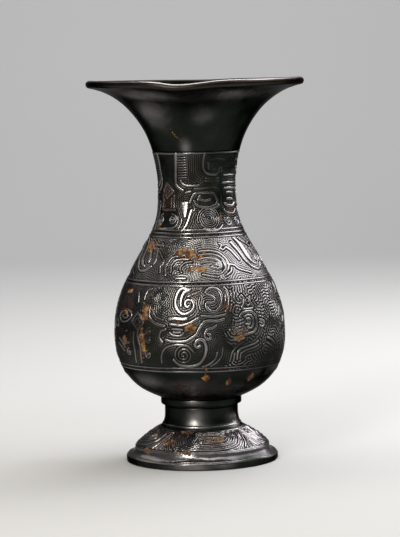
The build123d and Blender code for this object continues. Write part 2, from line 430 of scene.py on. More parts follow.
class Band:
    """A carved band: a grid over the turned wall, the ridges on it and the distance to them in mm.

    The motif is written once and placed several times. A placement is an angle of the motif, the
    angle of the vase that it comes to, and a scale, which mirrors the motif where it is negative.
    """

    def __init__(self, run, columns, placements, plain_below=-1.0):
        self.run = run
        self.columns = columns
        self.placements = placements
        self.plain_below = plain_below
        self.points = around_axis(run[:, :1], run[:, 1:], columns)
        self.ridge = np.zeros((len(run), columns))
        self.edge = np.full((len(run), columns), FAR_MM)
        self.clear = np.full((len(run), columns), FAR_MM)

    def on_wall(self, line):
        """Points in space of (angle, height in mm) points."""
        turn = np.radians(line[:, 0])
        order = np.argsort(self.run[:, 1])
        radius = np.interp(line[:, 1] * MM, self.run[order, 1], self.run[order, 0])
        return np.stack([radius * np.sin(turn), -radius * np.cos(turn), line[:, 1] * MM], axis=1)

    def window(self, line, margin):
        """Rows and columns of the grid near a line."""
        lowest, highest = line[:, 1].min() - margin, line[:, 1].max() + margin
        rows = np.nonzero((self.run[:, 1] / MM >= lowest) & (self.run[:, 1] / MM <= highest))[0]
        degree = np.radians(1) * self.run[:, 0].min() / MM
        first = math.floor((line[:, 0].min() - margin / degree) / 360 * self.columns)
        last = math.ceil((line[:, 0].max() + margin / degree) / 360 * self.columns)
        last = min(last, first + self.columns - 1)
        return np.ix_(rows, np.arange(first, last + 1) % self.columns)

    def cut(self, line, half_width, height, taper):
        """One ridge along a line of (angle, height) points, in millimetres."""
        place = self.window(line, half_width + NEAR_MM)
        grid = self.points[place] / MM
        if grid.size == 0:
            return
        path = self.on_wall(line) / MM
        nearest = np.full(grid.shape[:2], 1e6)
        along = np.zeros(grid.shape[:2])
        count = len(path) - 1
        for index in range(count):
            start, span = path[index], path[index + 1] - path[index]
            reach = np.clip(((grid - start) @ span) / max(span @ span, 1e-9), 0, 1)
            gap = grid - start - reach[..., None] * span
            square = np.einsum("ijk,ijk->ij", gap, gap)
            closer = square < nearest
            nearest = np.where(closer, square, nearest)
            along = np.where(closer, (index + reach) / count, along)
        distance = np.sqrt(nearest)
        width = half_width * (1 - taper * along)
        flat_top = 1 - np.clip(distance / width, 0, 1) ** 5
        self.ridge[place] = np.maximum(self.ridge[place], height * flat_top)
        self.edge[place] = np.minimum(self.edge[place], distance - width)

    def carve(self, points, half_width, height, taper=0.0, smooth=True, in_front=True):
        """A ridge at every place of the motif or all but the front one, each a little different."""
        line = smooth_line(points) if smooth else np.asarray(points, float)
        for number, (origin, start, scale) in enumerate(self.placements):
            if number == 0 and not in_front:
                continue
            placed = line.copy()
            placed[:, 0] = start + scale * (line[:, 0] - origin)
            if number:
                placed[:, 0] += 0.7 * np.sin(0.31 * line[:, 1] + 2.1 * number)
                placed[:, 1] += 0.35 * np.sin(0.16 * line[:, 0] + 1.3 * number)
            self.cut(placed, half_width, height, taper)

    def covered(self):
        """How much of the band its ridges cover, in percent."""
        return round(100 * float((self.edge < 0).mean()), 1)


print("a band minds its ridges up to", NEAR_MM, "mm away")

# %% [markdown]
# The second tool grows a labyrinth into the room that is left. It starts from noise, keeps only
# the waves of one pitch, hardens them, and does so again. After some rounds the noise has turned
# into worm-like lands that run beside the ridges, much like thunder scrolls. A plain place of
# the wall has a shine of its own, between that of a hollow and that of a rubbed ridge.

# %% Labyrinth ground
PLAIN = 0.12


def labyrinth(band, pitch, free_rounds, seed, rounds=14):
    """A maze of lands from -1 to 1 at a pitch in mm, which minds the ridges after its free rounds."""
    spread, moat, hardness = 0.3, 0.42, 1.5
    down = np.fft.fftfreq(len(band.run), np.hypot(*(band.run[1] - band.run[0])) / MM)
    around = np.fft.rfftfreq(band.columns, 2 * math.pi * band.run[:, 0].mean() / MM / band.columns)
    waves = pitch * np.hypot(down[:, None], around)
    keep = np.exp(-(((waves - 1) / spread) ** 2))
    maze = np.random.default_rng(seed).uniform(-1, 1, band.edge.shape)
    for turn in range(rounds):
        if turn >= free_rounds:
            maze[band.edge < moat * pitch] = -1
            maze[band.edge < 0] = 1
        maze = np.fft.irfft2(np.fft.rfft2(maze) * keep, s=maze.shape)
        maze = np.clip(hardness * maze / maze.std(), -1, 1)
    free = eased(np.minimum(band.edge, band.clear), 0.1, 0.45)
    return maze * free - (1 - free)


def stretch(band, first, last):
    """1 between two angles of the vase and 0 elsewhere, with soft ends that wander by height."""
    level = band.run[:, 1:] / MM
    wander = 3.2 * np.sin(0.29 * level + 0.4) + 1.6 * np.sin(0.83 * level)
    turn = np.arange(band.columns) / band.columns * 360 + wander
    off = (turn - (first + last) / 2 + 180) % 360 - 180
    return eased((last - first) / 2 - abs(off), -2, 2)


def relief_of(band, grounds, sink, seed):
    """Ridges over one or more grounds, as relief in metres and as a shine from 0 to 1.

    A ground has a pitch and height in mm, the shine of its hollows and lands, the level of the
    maze where that shine begins, its free rounds, and the stretches it is kept to.
    """
    ground = np.zeros(band.ridge.shape)
    rubbed = np.zeros(band.ridge.shape)
    off_ridges = eased(np.minimum(band.edge, band.clear), 0.1, 0.8)
    for pitch, height, (hollow_shine, land_shine), shine_from, free_rounds, stretches in grounds:
        share = sum(stretch(band, first, last) for first, last in stretches) if stretches else 1.0
        maze = labyrinth(band, pitch, free_rounds, seed)
        lands = eased(maze, -0.95, 0.1)
        crests = eased(maze, shine_from, shine_from + 1.05)
        shine = hollow_shine * off_ridges * (1 - crests) + land_shine * crests
        ground = ground * (1 - share) + height * lands * share
        rubbed = rubbed * (1 - share) + shine * share
    worn = 0.88 + 0.12 * cloud(band.points, 26 * MM, seed)
    carved = eased(band.run[:, 1:], band.plain_below, band.plain_below + 0.8 * MM)
    height = np.maximum(band.ridge, ground) * worn * carved
    bright = np.maximum(band.ridge, rubbed) * worn * carved
    return (0.75 * height - sink * carved) * MM, np.clip(bright + PLAIN * (1 - carved), 0, 1)


print("a plain wall has a shine of", PLAIN)

# %% [markdown]
# A carved casting is a band with its laps and inner face added. Raised threads frame each band,
# and the ground is sunk a little, so that the ridges stand about as high as the turned wall.

# %% Threads
thread_pitch = 2.4 * MM
half_pitch = thread_pitch / 2


def add_threads(band, heights, half_width=0.7, rise=0.85):
    """Raised lines all round a band, in millimetres."""
    for height in heights:
        radius = np.interp(height, band.run[:, 1], band.run[:, 0])
        distance = np.hypot(band.run[:, 0] - radius, band.run[:, 1] - height)[:, None] / MM
        share = np.clip(distance / half_width, 0, 1)
        band.ridge = np.maximum(band.ridge, rise * np.sqrt(1 - share**2))
        band.clear = np.minimum(band.clear, distance - half_width)


print("threads stand", round(thread_pitch / MM, 1), "mm apart")

# %% [markdown]
# The neck carries a mask seen in halves: a lozenge and nose on its axis, a plume of ladder lines,
# a squared scroll, an eye with a slit pupil, and spirals below. The halves to the right of the
# axis are wide and those to the left are narrow, as on the real casting, so each line is written
# once, in degrees from the axis and millimetres of height, and placed four times.

# %% Neck: axis and plume
half_mask, narrow_half = 107.0, 73.0
squeeze = narrow_half / half_mask
mask_axis = -50.0
neck_placements = [
    (0, mask_axis, 1),
    (half_mask, mask_axis + half_mask, -1),
    (0, mask_axis + 2 * half_mask, squeeze),
    (0, mask_axis, -squeeze),
]
neck_run = run_of(outer_curve, neck_seam, mouth_seam, 0.27 * MM)
neck_degree_mm = 0.49
neck = Band(neck_run, columns=720, placements=neck_placements)
add_threads(neck, (mouth_seam - half_pitch, neck_seam + half_pitch, neck_seam + 1.5 * thread_pitch))
# Lozenge and nose on the axis
neck.carve([(0, 190.6), (13, 185.2), (0, 180.9)], 0.84, 0.85, smooth=False)
neck.carve([(0, 187.4), (5.6, 185.1), (0, 183.1)], 0.54, 0.6, smooth=False)
neck.carve([(14.4, 182), (13.6, 178.4), (14, 174.4)], 0.9, 0.8)
neck.carve([(8.5, 180.2), (8.8, 177.1), (8.5, 174.2)], 0.6, 0.6)
neck.carve([(0, 172.7), (16, 172.7)], 0.6, 0.6)
# Plume with its ladder, turning under
neck.carve([(22, 210.6), (19.8, 202), (18, 192), (20.6, 188.4), (29, 185.9)], 1.02, 0.95)
neck.carve([(26.2, 192.4), (28.2, 190.6), (33.2, 189.2), (41, 188.8), (52.8, 189.1)], 0.9, 0.9)
neck.carve([(33, 184.3), (41, 185)], 0.9, 0.9)
neck.carve([(37.5, 210.1), (37, 202.1), (37.5, 195.1), (38, 191.6)], 0.54, 0.6)
for rung in range(10):
    level = 209.6 - 1.7 * rung
    neck.carve([(23, level), (35, level)], 0.6, 0.7, smooth=False)
# Fine lines that sweep from the border to the brow
for line in range(6):
    start, bottom = 40.4 + 2.8 * line, 190.6 + 1.05 * line
    neck.carve([
        (start, 210.2), (start, bottom + 6), (start + 2, bottom + 2), (start + 7.5, bottom),
    ], 0.4, 0.52)
print("neck ridges cover", neck.covered(), "percent")

# %% [markdown]
# Each call below is one ridge: its points, half its width and its height in millimetres. A ridge
# that thins out, like the fang, tapers along its length, and straight bars skip the smoothing.

# %% Neck: scroll, eye and fang
# Squared scroll
neck.carve([
    (61.2, 210.6), (59.6, 206), (59.6, 201.6), (62.6, 197.9), (69.4, 196.1), (79, 195.9),
], 0.84, 0.85)
neck.carve([(79, 195.9), (83.2, 197.6), (85.4, 200.3), (89, 199.7), (88, 197.6)], 0.72, 0.75)
neck.carve([(67.2, 203.7), (67.4, 200.1)], 0.9, 0.85)
neck.carve([(71.8, 205.9), (82, 206.1), (92.6, 205.5)], 0.72, 0.7)
neck.carve([(73.5, 203), (74, 199.6), (78.4, 199)], 0.6, 0.65)
for level in (193.6, 191.7):
    neck.carve([(63, level), (84, level - 0.3)], 0.54, 0.6, smooth=False)
# Brow and eye
neck.carve([(46, 186.9), (58, 186.9), (72, 187.3), (84, 185.5), (88, 181.6), (87.4, 177.4)], 0.66, 0.7)
neck.carve([
    (39.6, 177.6), (42.6, 181.1), (47.6, 183.6), (61.2, 184), (74.4, 183.2), (79.6, 179.8),
    (80.4, 176.7), (71.6, 174.6), (60.6, 174.3), (50.2, 175.6), (45.6, 178.6),
], 0.96, 0.95)
neck.carve([(51.4, 179.4), (54.4, 182)], 0.96, 0.95)
neck.carve([(54.2, 179.6), (61, 178.6), (69, 179.4)], 0.9, 0.9)
neck.carve([(67.4, 174), (75.6, 174.3), (82.6, 175.4)], 0.96, 0.95)
# Fang and cheek
neck.carve([(27, 177.8), (36.8, 177.7)], 0.72, 0.95)
neck.carve([(27.8, 176), (30.8, 172.4), (31.8, 168.6)], 2.3, 1.15, taper=0.5)
neck.carve([(33.2, 176), (33, 172.4), (32.2, 168.4)], 2.6, 1.15, taper=0.5)
neck.carve([(42, 172.4), (40, 170.1), (38, 167), (34.6, 162.6), (29.2, 158.9)], 1.2, 1.15, taper=0.2)
neck.carve([(27.6, 166.8), (27.2, 164), (24.6, 160.6)], 0.7, 0.85)
neck.carve([(43.5, 176.6), (46.5, 173.6), (44, 171.4)], 0.6, 0.7)
print("neck ridges cover", neck.covered(), "percent")

# %% [markdown]
# Under the eye a great spiral fills the lower corner of each half mask, and stacked bars stand on
# the seam between two halves. Then the labyrinth grows round all of it, fainter near the axis.

# %% Neck: spirals, bars and ground
# Great spiral and the small one by the nose
neck.carve(volute((66.4, 166.8), 8.2, 5.2, 200, hand=-1, degree_mm=neck_degree_mm), 0.42, 0.8, smooth=False)
neck.carve([(58, 160), (64, 158.7), (72, 158.6), (79, 159.8), (84.2, 161.8)], 0.9, 1.05)
neck.carve(volute((13, 166.4), 3.6, 1.8, 100, hand=-1, degree_mm=neck_degree_mm), 0.62, 0.85, smooth=False)
neck.carve([(21.6, 168.4), (22, 164.6), (18.6, 161.6), (11, 160.5), (0, 160.3)], 0.66, 0.75)
# Stacked bars on the seam between two half masks
seam_bars = [(195.3, 14, 0.6), (190.2, 16, 0.8), (186.5, 13, 0.8), (183.6, 8, 0.75), (179.2, 7, 0.9)]
for level, reach, half_width in seam_bars:
    neck.carve([(half_mask - reach, level), (half_mask, level + 0.2)], half_width, 1.0, smooth=False)
neck.carve([(94.6, 176.1), (100, 174.9), (half_mask, 174.5)], 1.02, 1.0)
neck.carve([(92, 172.1), (98, 170.1), (half_mask, 169.5)], 0.72, 0.75)
neck.carve(volute((97, 164.7), 3.6, 1.6, 150, hand=1, degree_mm=neck_degree_mm), 0.74, 0.8, smooth=False)
neck_ground = [
    (1.4, 0.32, (0.0, 0.4), -0.95, 0, None),
    (1.4, 0.16, (0.0, 0.16), -0.95, 0, [(-72, -30)]),
]
neck_rise, neck_shine = relief_of(neck, neck_ground, sink=0.34, seed=21)
neck_section = lapped_section(neck.run, neck_seam, mouth_seam)
print("neck carved in", len(neck.run), "rows")

# %% [markdown]
# The shoulder has pairs of volutes with long C-shaped sweeps and a broad leaf between them, three
# times round. The volute on the left is half worn away, so its ridges are lower.

# %% Shoulder: volutes
thirds = [(0, 0, 1), (0, 120, 1), (0, 240, 1)]
shoulder_run = run_of(outer_curve, shoulder_seam, neck_seam, 0.3 * MM)
shoulder = Band(shoulder_run, columns=960, placements=thirds)
add_threads(shoulder, (neck_seam - half_pitch, shoulder_seam + half_pitch))
# Volute on the right: two rings, and a third that swells into a broad comma
shoulder.carve([
    (1, 145.7), (8.2, 146.1), (14.2, 145.8), (20.4, 144.3), (24, 142.2), (26.8, 139.5), (27.8, 136.4),
    (25.8, 133.2),
], 0.95, 0.95)
shoulder.carve([
    (-0.2, 143.3), (7.8, 143.8), (13.6, 143.6), (19.6, 142.1), (23.2, 139.8), (24.6, 136.8),
    (23.8, 134.1), (20.6, 131.9),
], 0.85, 0.95)
shoulder.carve([(0.8, 140.7), (6.4, 141.4), (13, 141), (17.2, 139.7)], 0.9, 0.95)
shoulder.carve([
    (19.8, 136.6), (19.6, 135.2), (17, 134.5), (13.8, 135), (11.2, 135.5),
], 1.6, 1.05, taper=0.4)
shoulder.carve([(19.8, 136.6), (19.4, 138.3), (17, 139.8), (13, 141)], 1.6, 1.05, taper=0.45)
shoulder.carve([(2.6, 138.3), (6.6, 138.8), (10.6, 139), (14.2, 138.1)], 0.7, 0.85)
shoulder.carve([(11.2, 135.5), (12.6, 136.5), (14.4, 136.8)], 0.6, 0.85)
shoulder.carve([(3.6, 131), (9.2, 129.8), (16, 128.9)], 0.9, 0.85)
# Volute on the left, low and half worn away
shoulder.carve([
    (-10, 143.8), (-20.2, 142.9), (-26, 141.8), (-29.4, 138.2), (-30.4, 134.4), (-28.6, 130.6),
], 0.9, 0.68)
shoulder.carve([(-9, 141), (-17.6, 141), (-22.4, 139.9), (-25.2, 136.6), (-24.6, 132.6)], 0.9, 0.68)
shoulder.carve([(-6, 139.4), (-11.8, 138.8), (-15.4, 136.8), (-16.6, 134.4), (-14.6, 132.4)], 0.8, 0.62)
shoulder.carve([
    (-41.8, 145.2), (-37.8, 142.3), (-34.2, 139.8), (-34.4, 137.4), (-36.2, 135.8), (-34.8, 132.2),
], 0.8, 0.75)
shoulder.carve([(-46, 147), (-44.6, 143.4), (-43.8, 139.6), (-45.4, 137.2)], 0.84, 0.72)
print("shoulder ridges cover", shoulder.covered(), "percent")

# %% [markdown]
# The leaf is two short ridges that share their thick end and taper away from it. A ridge of even
# width could not swell like that.

# %% Shoulder: leaf, curls and ground
# Broad leaf, with a broad outline that turns under it and a lower one beside it
shoulder.carve([(53.4, 145.2), (51.2, 148.6), (47.4, 151.4), (44.4, 153.3)], 2.7, 1.05, taper=0.65)
shoulder.carve([
    (53.4, 145.2), (54, 141.6), (55.8, 138.5), (59.6, 136.4), (63, 135.6),
], 2.7, 1.05, taper=0.62)
shoulder.carve([
    (38.6, 150.4), (40.6, 148.3), (43.4, 145.5), (45.8, 142.2), (47.8, 138.8), (51, 135.7),
    (55.2, 133.6), (61, 132.4), (68, 133), (72.4, 135.4),
], 1.4, 1.0, taper=0.2)
shoulder.carve([(30.4, 147.7), (34.4, 145.8), (37, 143.6), (39.2, 141.1), (40.8, 139.2)], 1.1, 0.72)
shoulder.carve([(52.2, 153.1), (56.8, 151), (63, 149), (68, 146.8)], 0.9, 0.9)
shoulder.carve([(60, 153.4), (65, 151.6), (70, 149.8)], 0.7, 0.8)
shoulder.carve([(65.4, 145.4), (66.8, 143), (67.8, 140.6), (67.2, 138.2)], 1.3, 0.85)
# Curls, bud and wave between them
shoulder.carve([(-55.2, 149.1), (-47, 149.4), (-40, 149.2), (-43, 151)], 0.84, 0.8)
shoulder.carve([(23, 150.2), (25.8, 149), (23.4, 147.5), (25.6, 146.1), (29, 147.4)], 0.84, 0.95)
shoulder.carve([(29.4, 136.6), (33.6, 135.8), (36.4, 133.6), (41.8, 131.9), (49.4, 130.2)], 0.9, 0.8)
shoulder.carve([(29.8, 134.4), (28.2, 132), (23, 129.8)], 0.9, 0.85)
shoulder.carve([(-19, 128.7), (-15.2, 128.9), (-11, 128.7)], 1.0, 0.95)
shoulder_ground = [
    (1.5, 0.2, (0.27, 0.56), -0.95, 0, None),
    (1.8, 0.6, (0.1, 0.62), -0.95, 6, [(100, 160), (200, 240)]),
]
shoulder_rise, shoulder_shine = relief_of(shoulder, shoulder_ground, sink=0.34, seed=22)
shoulder_section = lapped_section(shoulder.run, shoulder_seam, neck_seam)
print("shoulder carved in", len(shoulder.run), "rows")

# %% [markdown]
# The belly is the showpiece: facing ram's horns, a domed eye under a heavy brow, a jaw that curls
# into spirals, a leg with claws, and a lozenge on the axis, over a dense ground of thunder
# scrolls. It repeats three times round the vase. The horns come first, since all else hangs on them.

# %% Belly: horns, brow and ear
bowl_top = belly_border - thread_pitch
belly_run = run_of(outer_curve, bowl_top, shoulder_seam, 0.27 * MM)
belly = Band(belly_run, columns=1344, placements=thirds, plain_below=bowl_top)
add_threads(belly, (shoulder_seam - half_pitch, belly_border - half_pitch, belly_border + half_pitch))
# Left horn: a bold outer ridge that winds in, and a broad leaf inside it
belly.carve([
    (-9, 121.8), (-11.8, 122.4), (-14.4, 121.2), (-16.2, 118.2), (-17, 114.5), (-16.6, 111.1),
    (-14.8, 108), (-12.2, 106.2), (-9.2, 105.8), (-6, 107.1), (-4, 109.4), (-3.6, 111.8), (-4.8, 114.1),
    (-7.4, 114.9), (-9.6, 113.6), (-9.6, 111.4), (-8, 110.2), (-6.8, 111.2),
], 1.32, 1.3, taper=0.3)
belly.carve([
    (-7.4, 121.4), (-10.8, 119.7), (-12.5, 116.5), (-13, 113.4), (-12.7, 110.9),
], 1.68, 1.2, taper=0.45)
belly.carve([(0, 119.7), (-4, 118.7), (-7.8, 117.1)], 0.84, 0.9)
# Right horn, thinner, with a hook
belly.carve([
    (4.8, 119.6), (6.8, 121.6), (10.4, 122.2), (13.6, 121.3), (15.6, 119.4), (16.4, 115.8), (16, 112.4),
    (14.4, 109.8), (11.6, 107.5), (9, 107), (6.2, 108.2), (4.8, 110.8), (5.4, 112.8), (7.6, 112.6),
], 1.08, 1.1)
belly.carve([(7.6, 112.6), (10.6, 113.4), (11, 115.3), (8.6, 117.2), (6, 118.3)], 0.84, 0.95)
belly.carve([
    (19, 122.4), (20.8, 120.2), (21.6, 116.7), (21.4, 113.3), (20.4, 109.4), (18.2, 106.8),
], 0.78, 0.8)
belly.carve([(0.6, 116.4), (-0.2, 112.6), (0.8, 108.2)], 0.6, 0.7)
# Brow bars and the long sweep to the right
belly.carve([(-20.8, 102.4), (-17.4, 102.8), (-14.4, 102.6), (-11.2, 102.3), (-8.8, 102.7)], 1.38, 1.2)
belly.carve([
    (-19.8, 99), (-16, 98.5), (-12.4, 98.3), (-8.4, 99.2), (-4.4, 100.9), (-0.8, 103),
], 1.08, 1.05)
belly.carve([(-18.4, 95.7), (-14.8, 95.6), (-11.6, 95.2)], 1.02, 1.05)
belly.carve([(1.4, 104.4), (8.4, 103.7), (12.8, 104), (17.6, 104.8)], 0.78, 0.85)
# Ear curve on the left
belly.carve([
    (-36.4, 109.5), (-36.4, 106.9), (-36.2, 104.1), (-34, 101.2), (-30, 98.9), (-24, 97.7),
], 1.02, 1.0)
belly.carve([(-32.6, 109.6), (-32.6, 106), (-30.2, 103.4), (-25, 101.6)], 0.6, 0.7)
print("belly ridges cover", belly.covered(), "percent")

# %% [markdown]
# The eye sits between two brackets, and the lid below it runs on into the long sweep to the right.
# The jaw is a spiral by formula, held by a hook that is drawn through listed points.

# %% Belly: eye, jaw and swirl
# Eye between its brackets, and the lid that runs into the sweep
belly.carve([(-17.6, 93.7), (-15.2, 93.5), (-12.8, 93.6)], 1.0, 1.15)
belly.carve([(-20.2, 93.4), (-18.6, 92), (-15.2, 91.3), (-12.4, 91.7), (-10.8, 93.1)], 0.96, 1.05)
belly.carve([(-23, 95.6), (-26.6, 94.3), (-27.6, 90.2), (-25.4, 87)], 1.02, 0.95)
belly.carve([
    (-23, 88.6), (-19.4, 87.7), (-14.4, 87.5), (-9.4, 87.9), (-5, 90.3), (-2.2, 92.4), (-0.6, 95.4),
    (1.6, 98.8), (4, 100.7), (7.6, 101), (11.6, 100.7), (16, 101.7),
], 1.02, 1.0)
# Jaw spiral with its hook
belly.carve(volute((-11, 78.5), 7.0, 2.7, 20, hand=1), 0.62, 0.85, smooth=False)
belly.carve([(-27, 73), (-26.4, 78.6), (-23, 83.4), (-16, 85.4), (-8.4, 84.6), (-4.4, 80.6)], 0.78, 0.85)
belly.carve([
    (-18, 75.2), (-14.2, 71.8), (-8, 70.6), (-2, 71.8), (2, 76), (3.8, 81.6), (3.4, 86.4), (1.2, 88.6),
    (-1.4, 88.4), (-3.4, 86), (-2, 83.6), (0, 84.6),
], 1.14, 1.1)
belly.carve([(11.4, 79.6), (9.6, 75), (6, 71.8), (1.6, 70.2)], 0.72, 0.8)
belly.carve([(15, 82.6), (14, 76.6), (10.6, 72.4), (7, 70.4)], 0.6, 0.7)
# Small swirl in the middle
belly.carve([
    (10.6, 97.7), (8.2, 96.1), (5.4, 95.6), (3.8, 93.7), (3.2, 91.3), (4.8, 88.9), (6.6, 89.3),
    (6.8, 91.3), (5.4, 92.4),
], 0.90, 0.95)
print("belly ridges cover", belly.covered(), "percent")

# %% [markdown]
# To the right of the mask stands a second face with a ringed eye, a bell, a leg and its claws, and
# to the left a lozenge on a stalk, between small scrolls. One more ringed eye is seen only at the
# left edge of the front, so it is left out of the first place of the motif.

# %% Belly: second face and lozenge
# Second face on the right: ringed eye, bell and leg
belly.carve([
    (28.4, 102.6), (29.8, 104.6), (33.2, 105.6), (37.4, 105.4), (40.2, 103.4), (41.4, 100),
    (41.2, 96.7), (40, 93.8), (37.8, 91.8), (34, 91), (30.6, 90.3),
], 0.96, 0.95)
belly.carve([
    (31.6, 102.6), (34.6, 103.4), (37.6, 102.3), (38.6, 99.3), (37.8, 96.4), (36, 94.6), (33.4, 95.1),
], 0.74, 0.85)
belly.carve([(33.2, 101), (35.4, 101), (36, 98.8), (34.6, 97), (32.4, 97.6)], 0.72, 0.85)
belly.carve([
    (31.8, 116.4), (33.4, 114.1), (32.6, 111.1), (30.8, 108.7), (32, 107.5), (35.4, 107.2),
    (39.4, 107.6), (39.6, 109.4), (38.2, 112), (38.8, 115.2),
], 0.84, 0.9)
belly.carve([(34.4, 113), (34.6, 110.6), (35.6, 109.6), (37, 110.2)], 0.66, 0.8)
belly.carve([(20, 73.2), (21.2, 78.4), (23.4, 81.5), (26, 83.8), (30, 85.8)], 0.6, 0.85)
belly.carve([
    (25.2, 74.4), (25.2, 76.3), (25.6, 79.3), (27.6, 81.3), (30.4, 82.1), (34.4, 83), (38.6, 84),
    (41.6, 85.6),
], 0.75, 1.1)
belly.carve([(29.6, 74), (30, 76.6), (33, 78.4), (39, 79.4), (45, 81.6)], 0.5, 0.7)
for claw in (
    [(50.6, 87.2), (55, 85.5), (58.2, 83.4), (60.2, 81.5)],
    [(50, 83.9), (54.6, 81.6), (58.8, 79.3)],
):
    belly.carve(claw, 0.84, 0.9)
belly.carve([(44.4, 99.7), (47.2, 98.7), (48.8, 96.8), (46.6, 94.8), (44.2, 95.6)], 0.78, 0.85)
# Lozenge and stalk on the axis, with small scrolls beside it
belly.carve([(-47, 105.6), (-41, 99), (-45.6, 94.4), (-52.4, 100), (-47, 105.6)], 0.84, 0.9, smooth=False)
belly.carve([
    (-46.8, 102.4), (-44.2, 99.2), (-46.4, 97), (-49.4, 99.9), (-46.8, 102.4),
], 0.54, 0.7, smooth=False)
belly.carve([(-45.6, 94.4), (-46, 90.1), (-45, 86.1), (-43.6, 82.1), (-44, 72)], 0.78, 0.85)
belly.carve([(-49.6, 92), (-50, 86), (-49, 79), (-49.6, 72)], 0.72, 0.8)
small_scrolls = [
    ((-36, 93.4), 2.6, 80), ((-36.2, 87.6), 2.4, 60), ((-37, 78), 3.0, 100), ((-55.4, 78.6), 2.8, 90),
]
for centre, reach, start in small_scrolls:
    belly.carve(volute(centre, reach, 1.4, start), 0.72, 0.85, smooth=False)
belly.carve([(-42.8, 114.6), (-42.4, 118), (-41.4, 120.4), (-38, 121.6)], 0.78, 0.85)
belly.carve([(-50.4, 118.6), (-49.4, 116), (-48.4, 112.6)], 0.78, 0.85)
# Ringed eye, which shows at the left edge of the front
belly.carve([
    (50, 102), (54, 105.6), (60, 107), (66, 105), (67, 102), (61, 99.2), (54, 99.2), (50, 102),
], 0.84, 0.9, in_front=False)
belly.carve([
    (54.6, 102.6), (59, 104.2), (63.4, 102.8), (59, 101.4), (54.6, 102.6),
], 0.78, 0.9, in_front=False)
print("belly ridges cover", belly.covered(), "percent")

# %% [markdown]
# The ground of the belly is a fine labyrinth, with a coarse one in some stretches. The plain bowl
# below has no carving and needs few rows. Inside, the section steps round the ledge for the floor
# plate and down the tenon that stands in the stem's collar.

# %% Belly: ground and section
belly_ground = [
    (1.45, 0.28, (0.06, 0.48), -0.95, 0, None),
    (2.05, 0.85, (0.0, 1.0), 0.0, 8, [(20, 88), (150, 205), (250, 275)]),
]
belly_rise, belly_shine = relief_of(belly, belly_ground, sink=0.36, seed=23)
bowl_run = run_of(outer_curve, body_bottom, bowl_top, 0.8 * MM)[:-1]
collar_top = round(body_bottom / MM, 1)
tenon_end = 39.7
tenon_radius, tenon_bore = 23.5, 20.5
ledge_radius, ledge_top = 23.0, 46.54
floor_well = MM * np.array([
    (ledge_radius, ledge_top), (ledge_radius, collar_top), (tenon_bore, collar_top),
    (tenon_bore, tenon_end), (tenon_radius, tenon_end), (tenon_radius, collar_top),
])
belly_section = np.concatenate([
    bowl_run,
    belly.run,
    above_lap(shoulder_seam),
    run_of(inner_curve, inner_curve[0, 1], shoulder_seam + lap_length, inner_spacing)[::-1],
    floor_well,
])
print("belly carved in", len(belly.run), "rows")

# %% [markdown]
# The foot is a skirt on a rolled rim, with a plain cove between them. The rim and the cove are
# arcs, and short rows beside each edge keep that edge crisp under smooth shading.

# %% Foot outline
def bowed(start, end, sag, count):
    """A shallow curve between two points that bulges outward by sag, all in millimetres."""
    start, end = np.array(start), np.array(end)
    share = np.linspace(0, 1, count)[:, None]
    fall = end - start
    square = np.array([fall[1], -fall[0]]) / np.hypot(*fall)
    return start + share * fall + 4 * sag * share * (1 - share) * square


def rounded(centre, radius, first, last, count):
    """Points of an arc between two angles, in millimetres and degrees."""
    sweep = np.radians(np.linspace(first, last, count))
    return np.stack([centre[0] + radius * np.cos(sweep), centre[1] + radius * np.sin(sweep)], axis=1)


def stepped(points, near=0.15):
    """Straight runs between points, with extra points near each end that keep the corners crisp."""
    points = np.asarray(points, float)
    rows = [points[:1]]
    for start, end in zip(points, points[1:]):
        close = min(0.3, near / max(np.hypot(*(end - start)), 1e-6))
        rows.append(start + np.array([[close], [1 - close], [1]]) * (end - start))
    return np.concatenate(rows)


cove_top, skirt_start = (46.0, 10.2), (46.0, 11.0)
crease_radius, crease_height = 28.8, round(stem_bottom / MM, 1)
rim = np.concatenate([
    stepped([(45.0, 0.0), (50.9, 0.0)])[:-1],
    rounded((50.9, 1.1), 1.1, -90, 0, 6),
    rounded((50.4, 3.4), 1.6, 0, 70, 8),
    rounded((50.25, 4.75), 0.75, 20, 150, 10),
    bowed((49.6, 5.12), cove_top, -0.9, 14)[1:],
    stepped([cove_top, skirt_start])[1:-1],
]) * MM
skirt = bowed(skirt_start, (crease_radius, crease_height), 0.7, 84) * MM
print("foot rim in", len(rim), "rows and skirt in", len(skirt))

# %% [markdown]
# The slope of the foot is carved with long cloud scrolls and a peak between them, four times round.
# Underneath, the section follows the lap that takes the stem, and the hollow of the foot.

# %% Foot ornament and section
quarters = [(0, 0, 1), (0, 90, 1), (0, 180, 1), (0, 270, 1)]
foot = Band(skirt, columns=960, placements=quarters)
add_threads(foot, [11.5 * MM], half_width=0.6, rise=0.6)
add_threads(foot, [23.1 * MM], half_width=0.5, rise=0.45)
foot.carve([
    (-22, 22.4), (-22.2, 18), (-18.6, 15), (-9.6, 13), (4.6, 12.6), (20.4, 12.8), (33.2, 14.4),
    (40.2, 17.7), (43, 21.6),
], 0.6, 0.95)
foot.carve([
    (-16.6, 21.7), (-17.4, 19.2), (-14.6, 16.9), (-8.4, 15), (2, 14.5), (16.6, 14.8), (27.4, 15.7),
    (34, 18), (33, 21.2),
], 0.6, 0.95)
foot.carve([
    (-7.6, 18), (-4.6, 20), (3, 20.8), (14.8, 20.8), (23.2, 19.8), (25, 18.2), (18.4, 17), (6.6, 16.6),
    (-2, 17), (-3, 18.4), (4, 19), (13, 18.8),
], 0.58, 0.95)
foot.carve([(-12.4, 21.8), (-11.8, 19.2), (-10, 17.6)], 0.48, 0.8)
foot.carve([(29.6, 21.6), (30, 19.2), (26, 16.9)], 0.48, 0.8)
foot.carve([
    (41, 12.8), (45, 15.6), (49, 20.4), (53, 22.2), (57, 20.4), (61, 15.6), (65, 12.8),
], 0.6, 0.95)
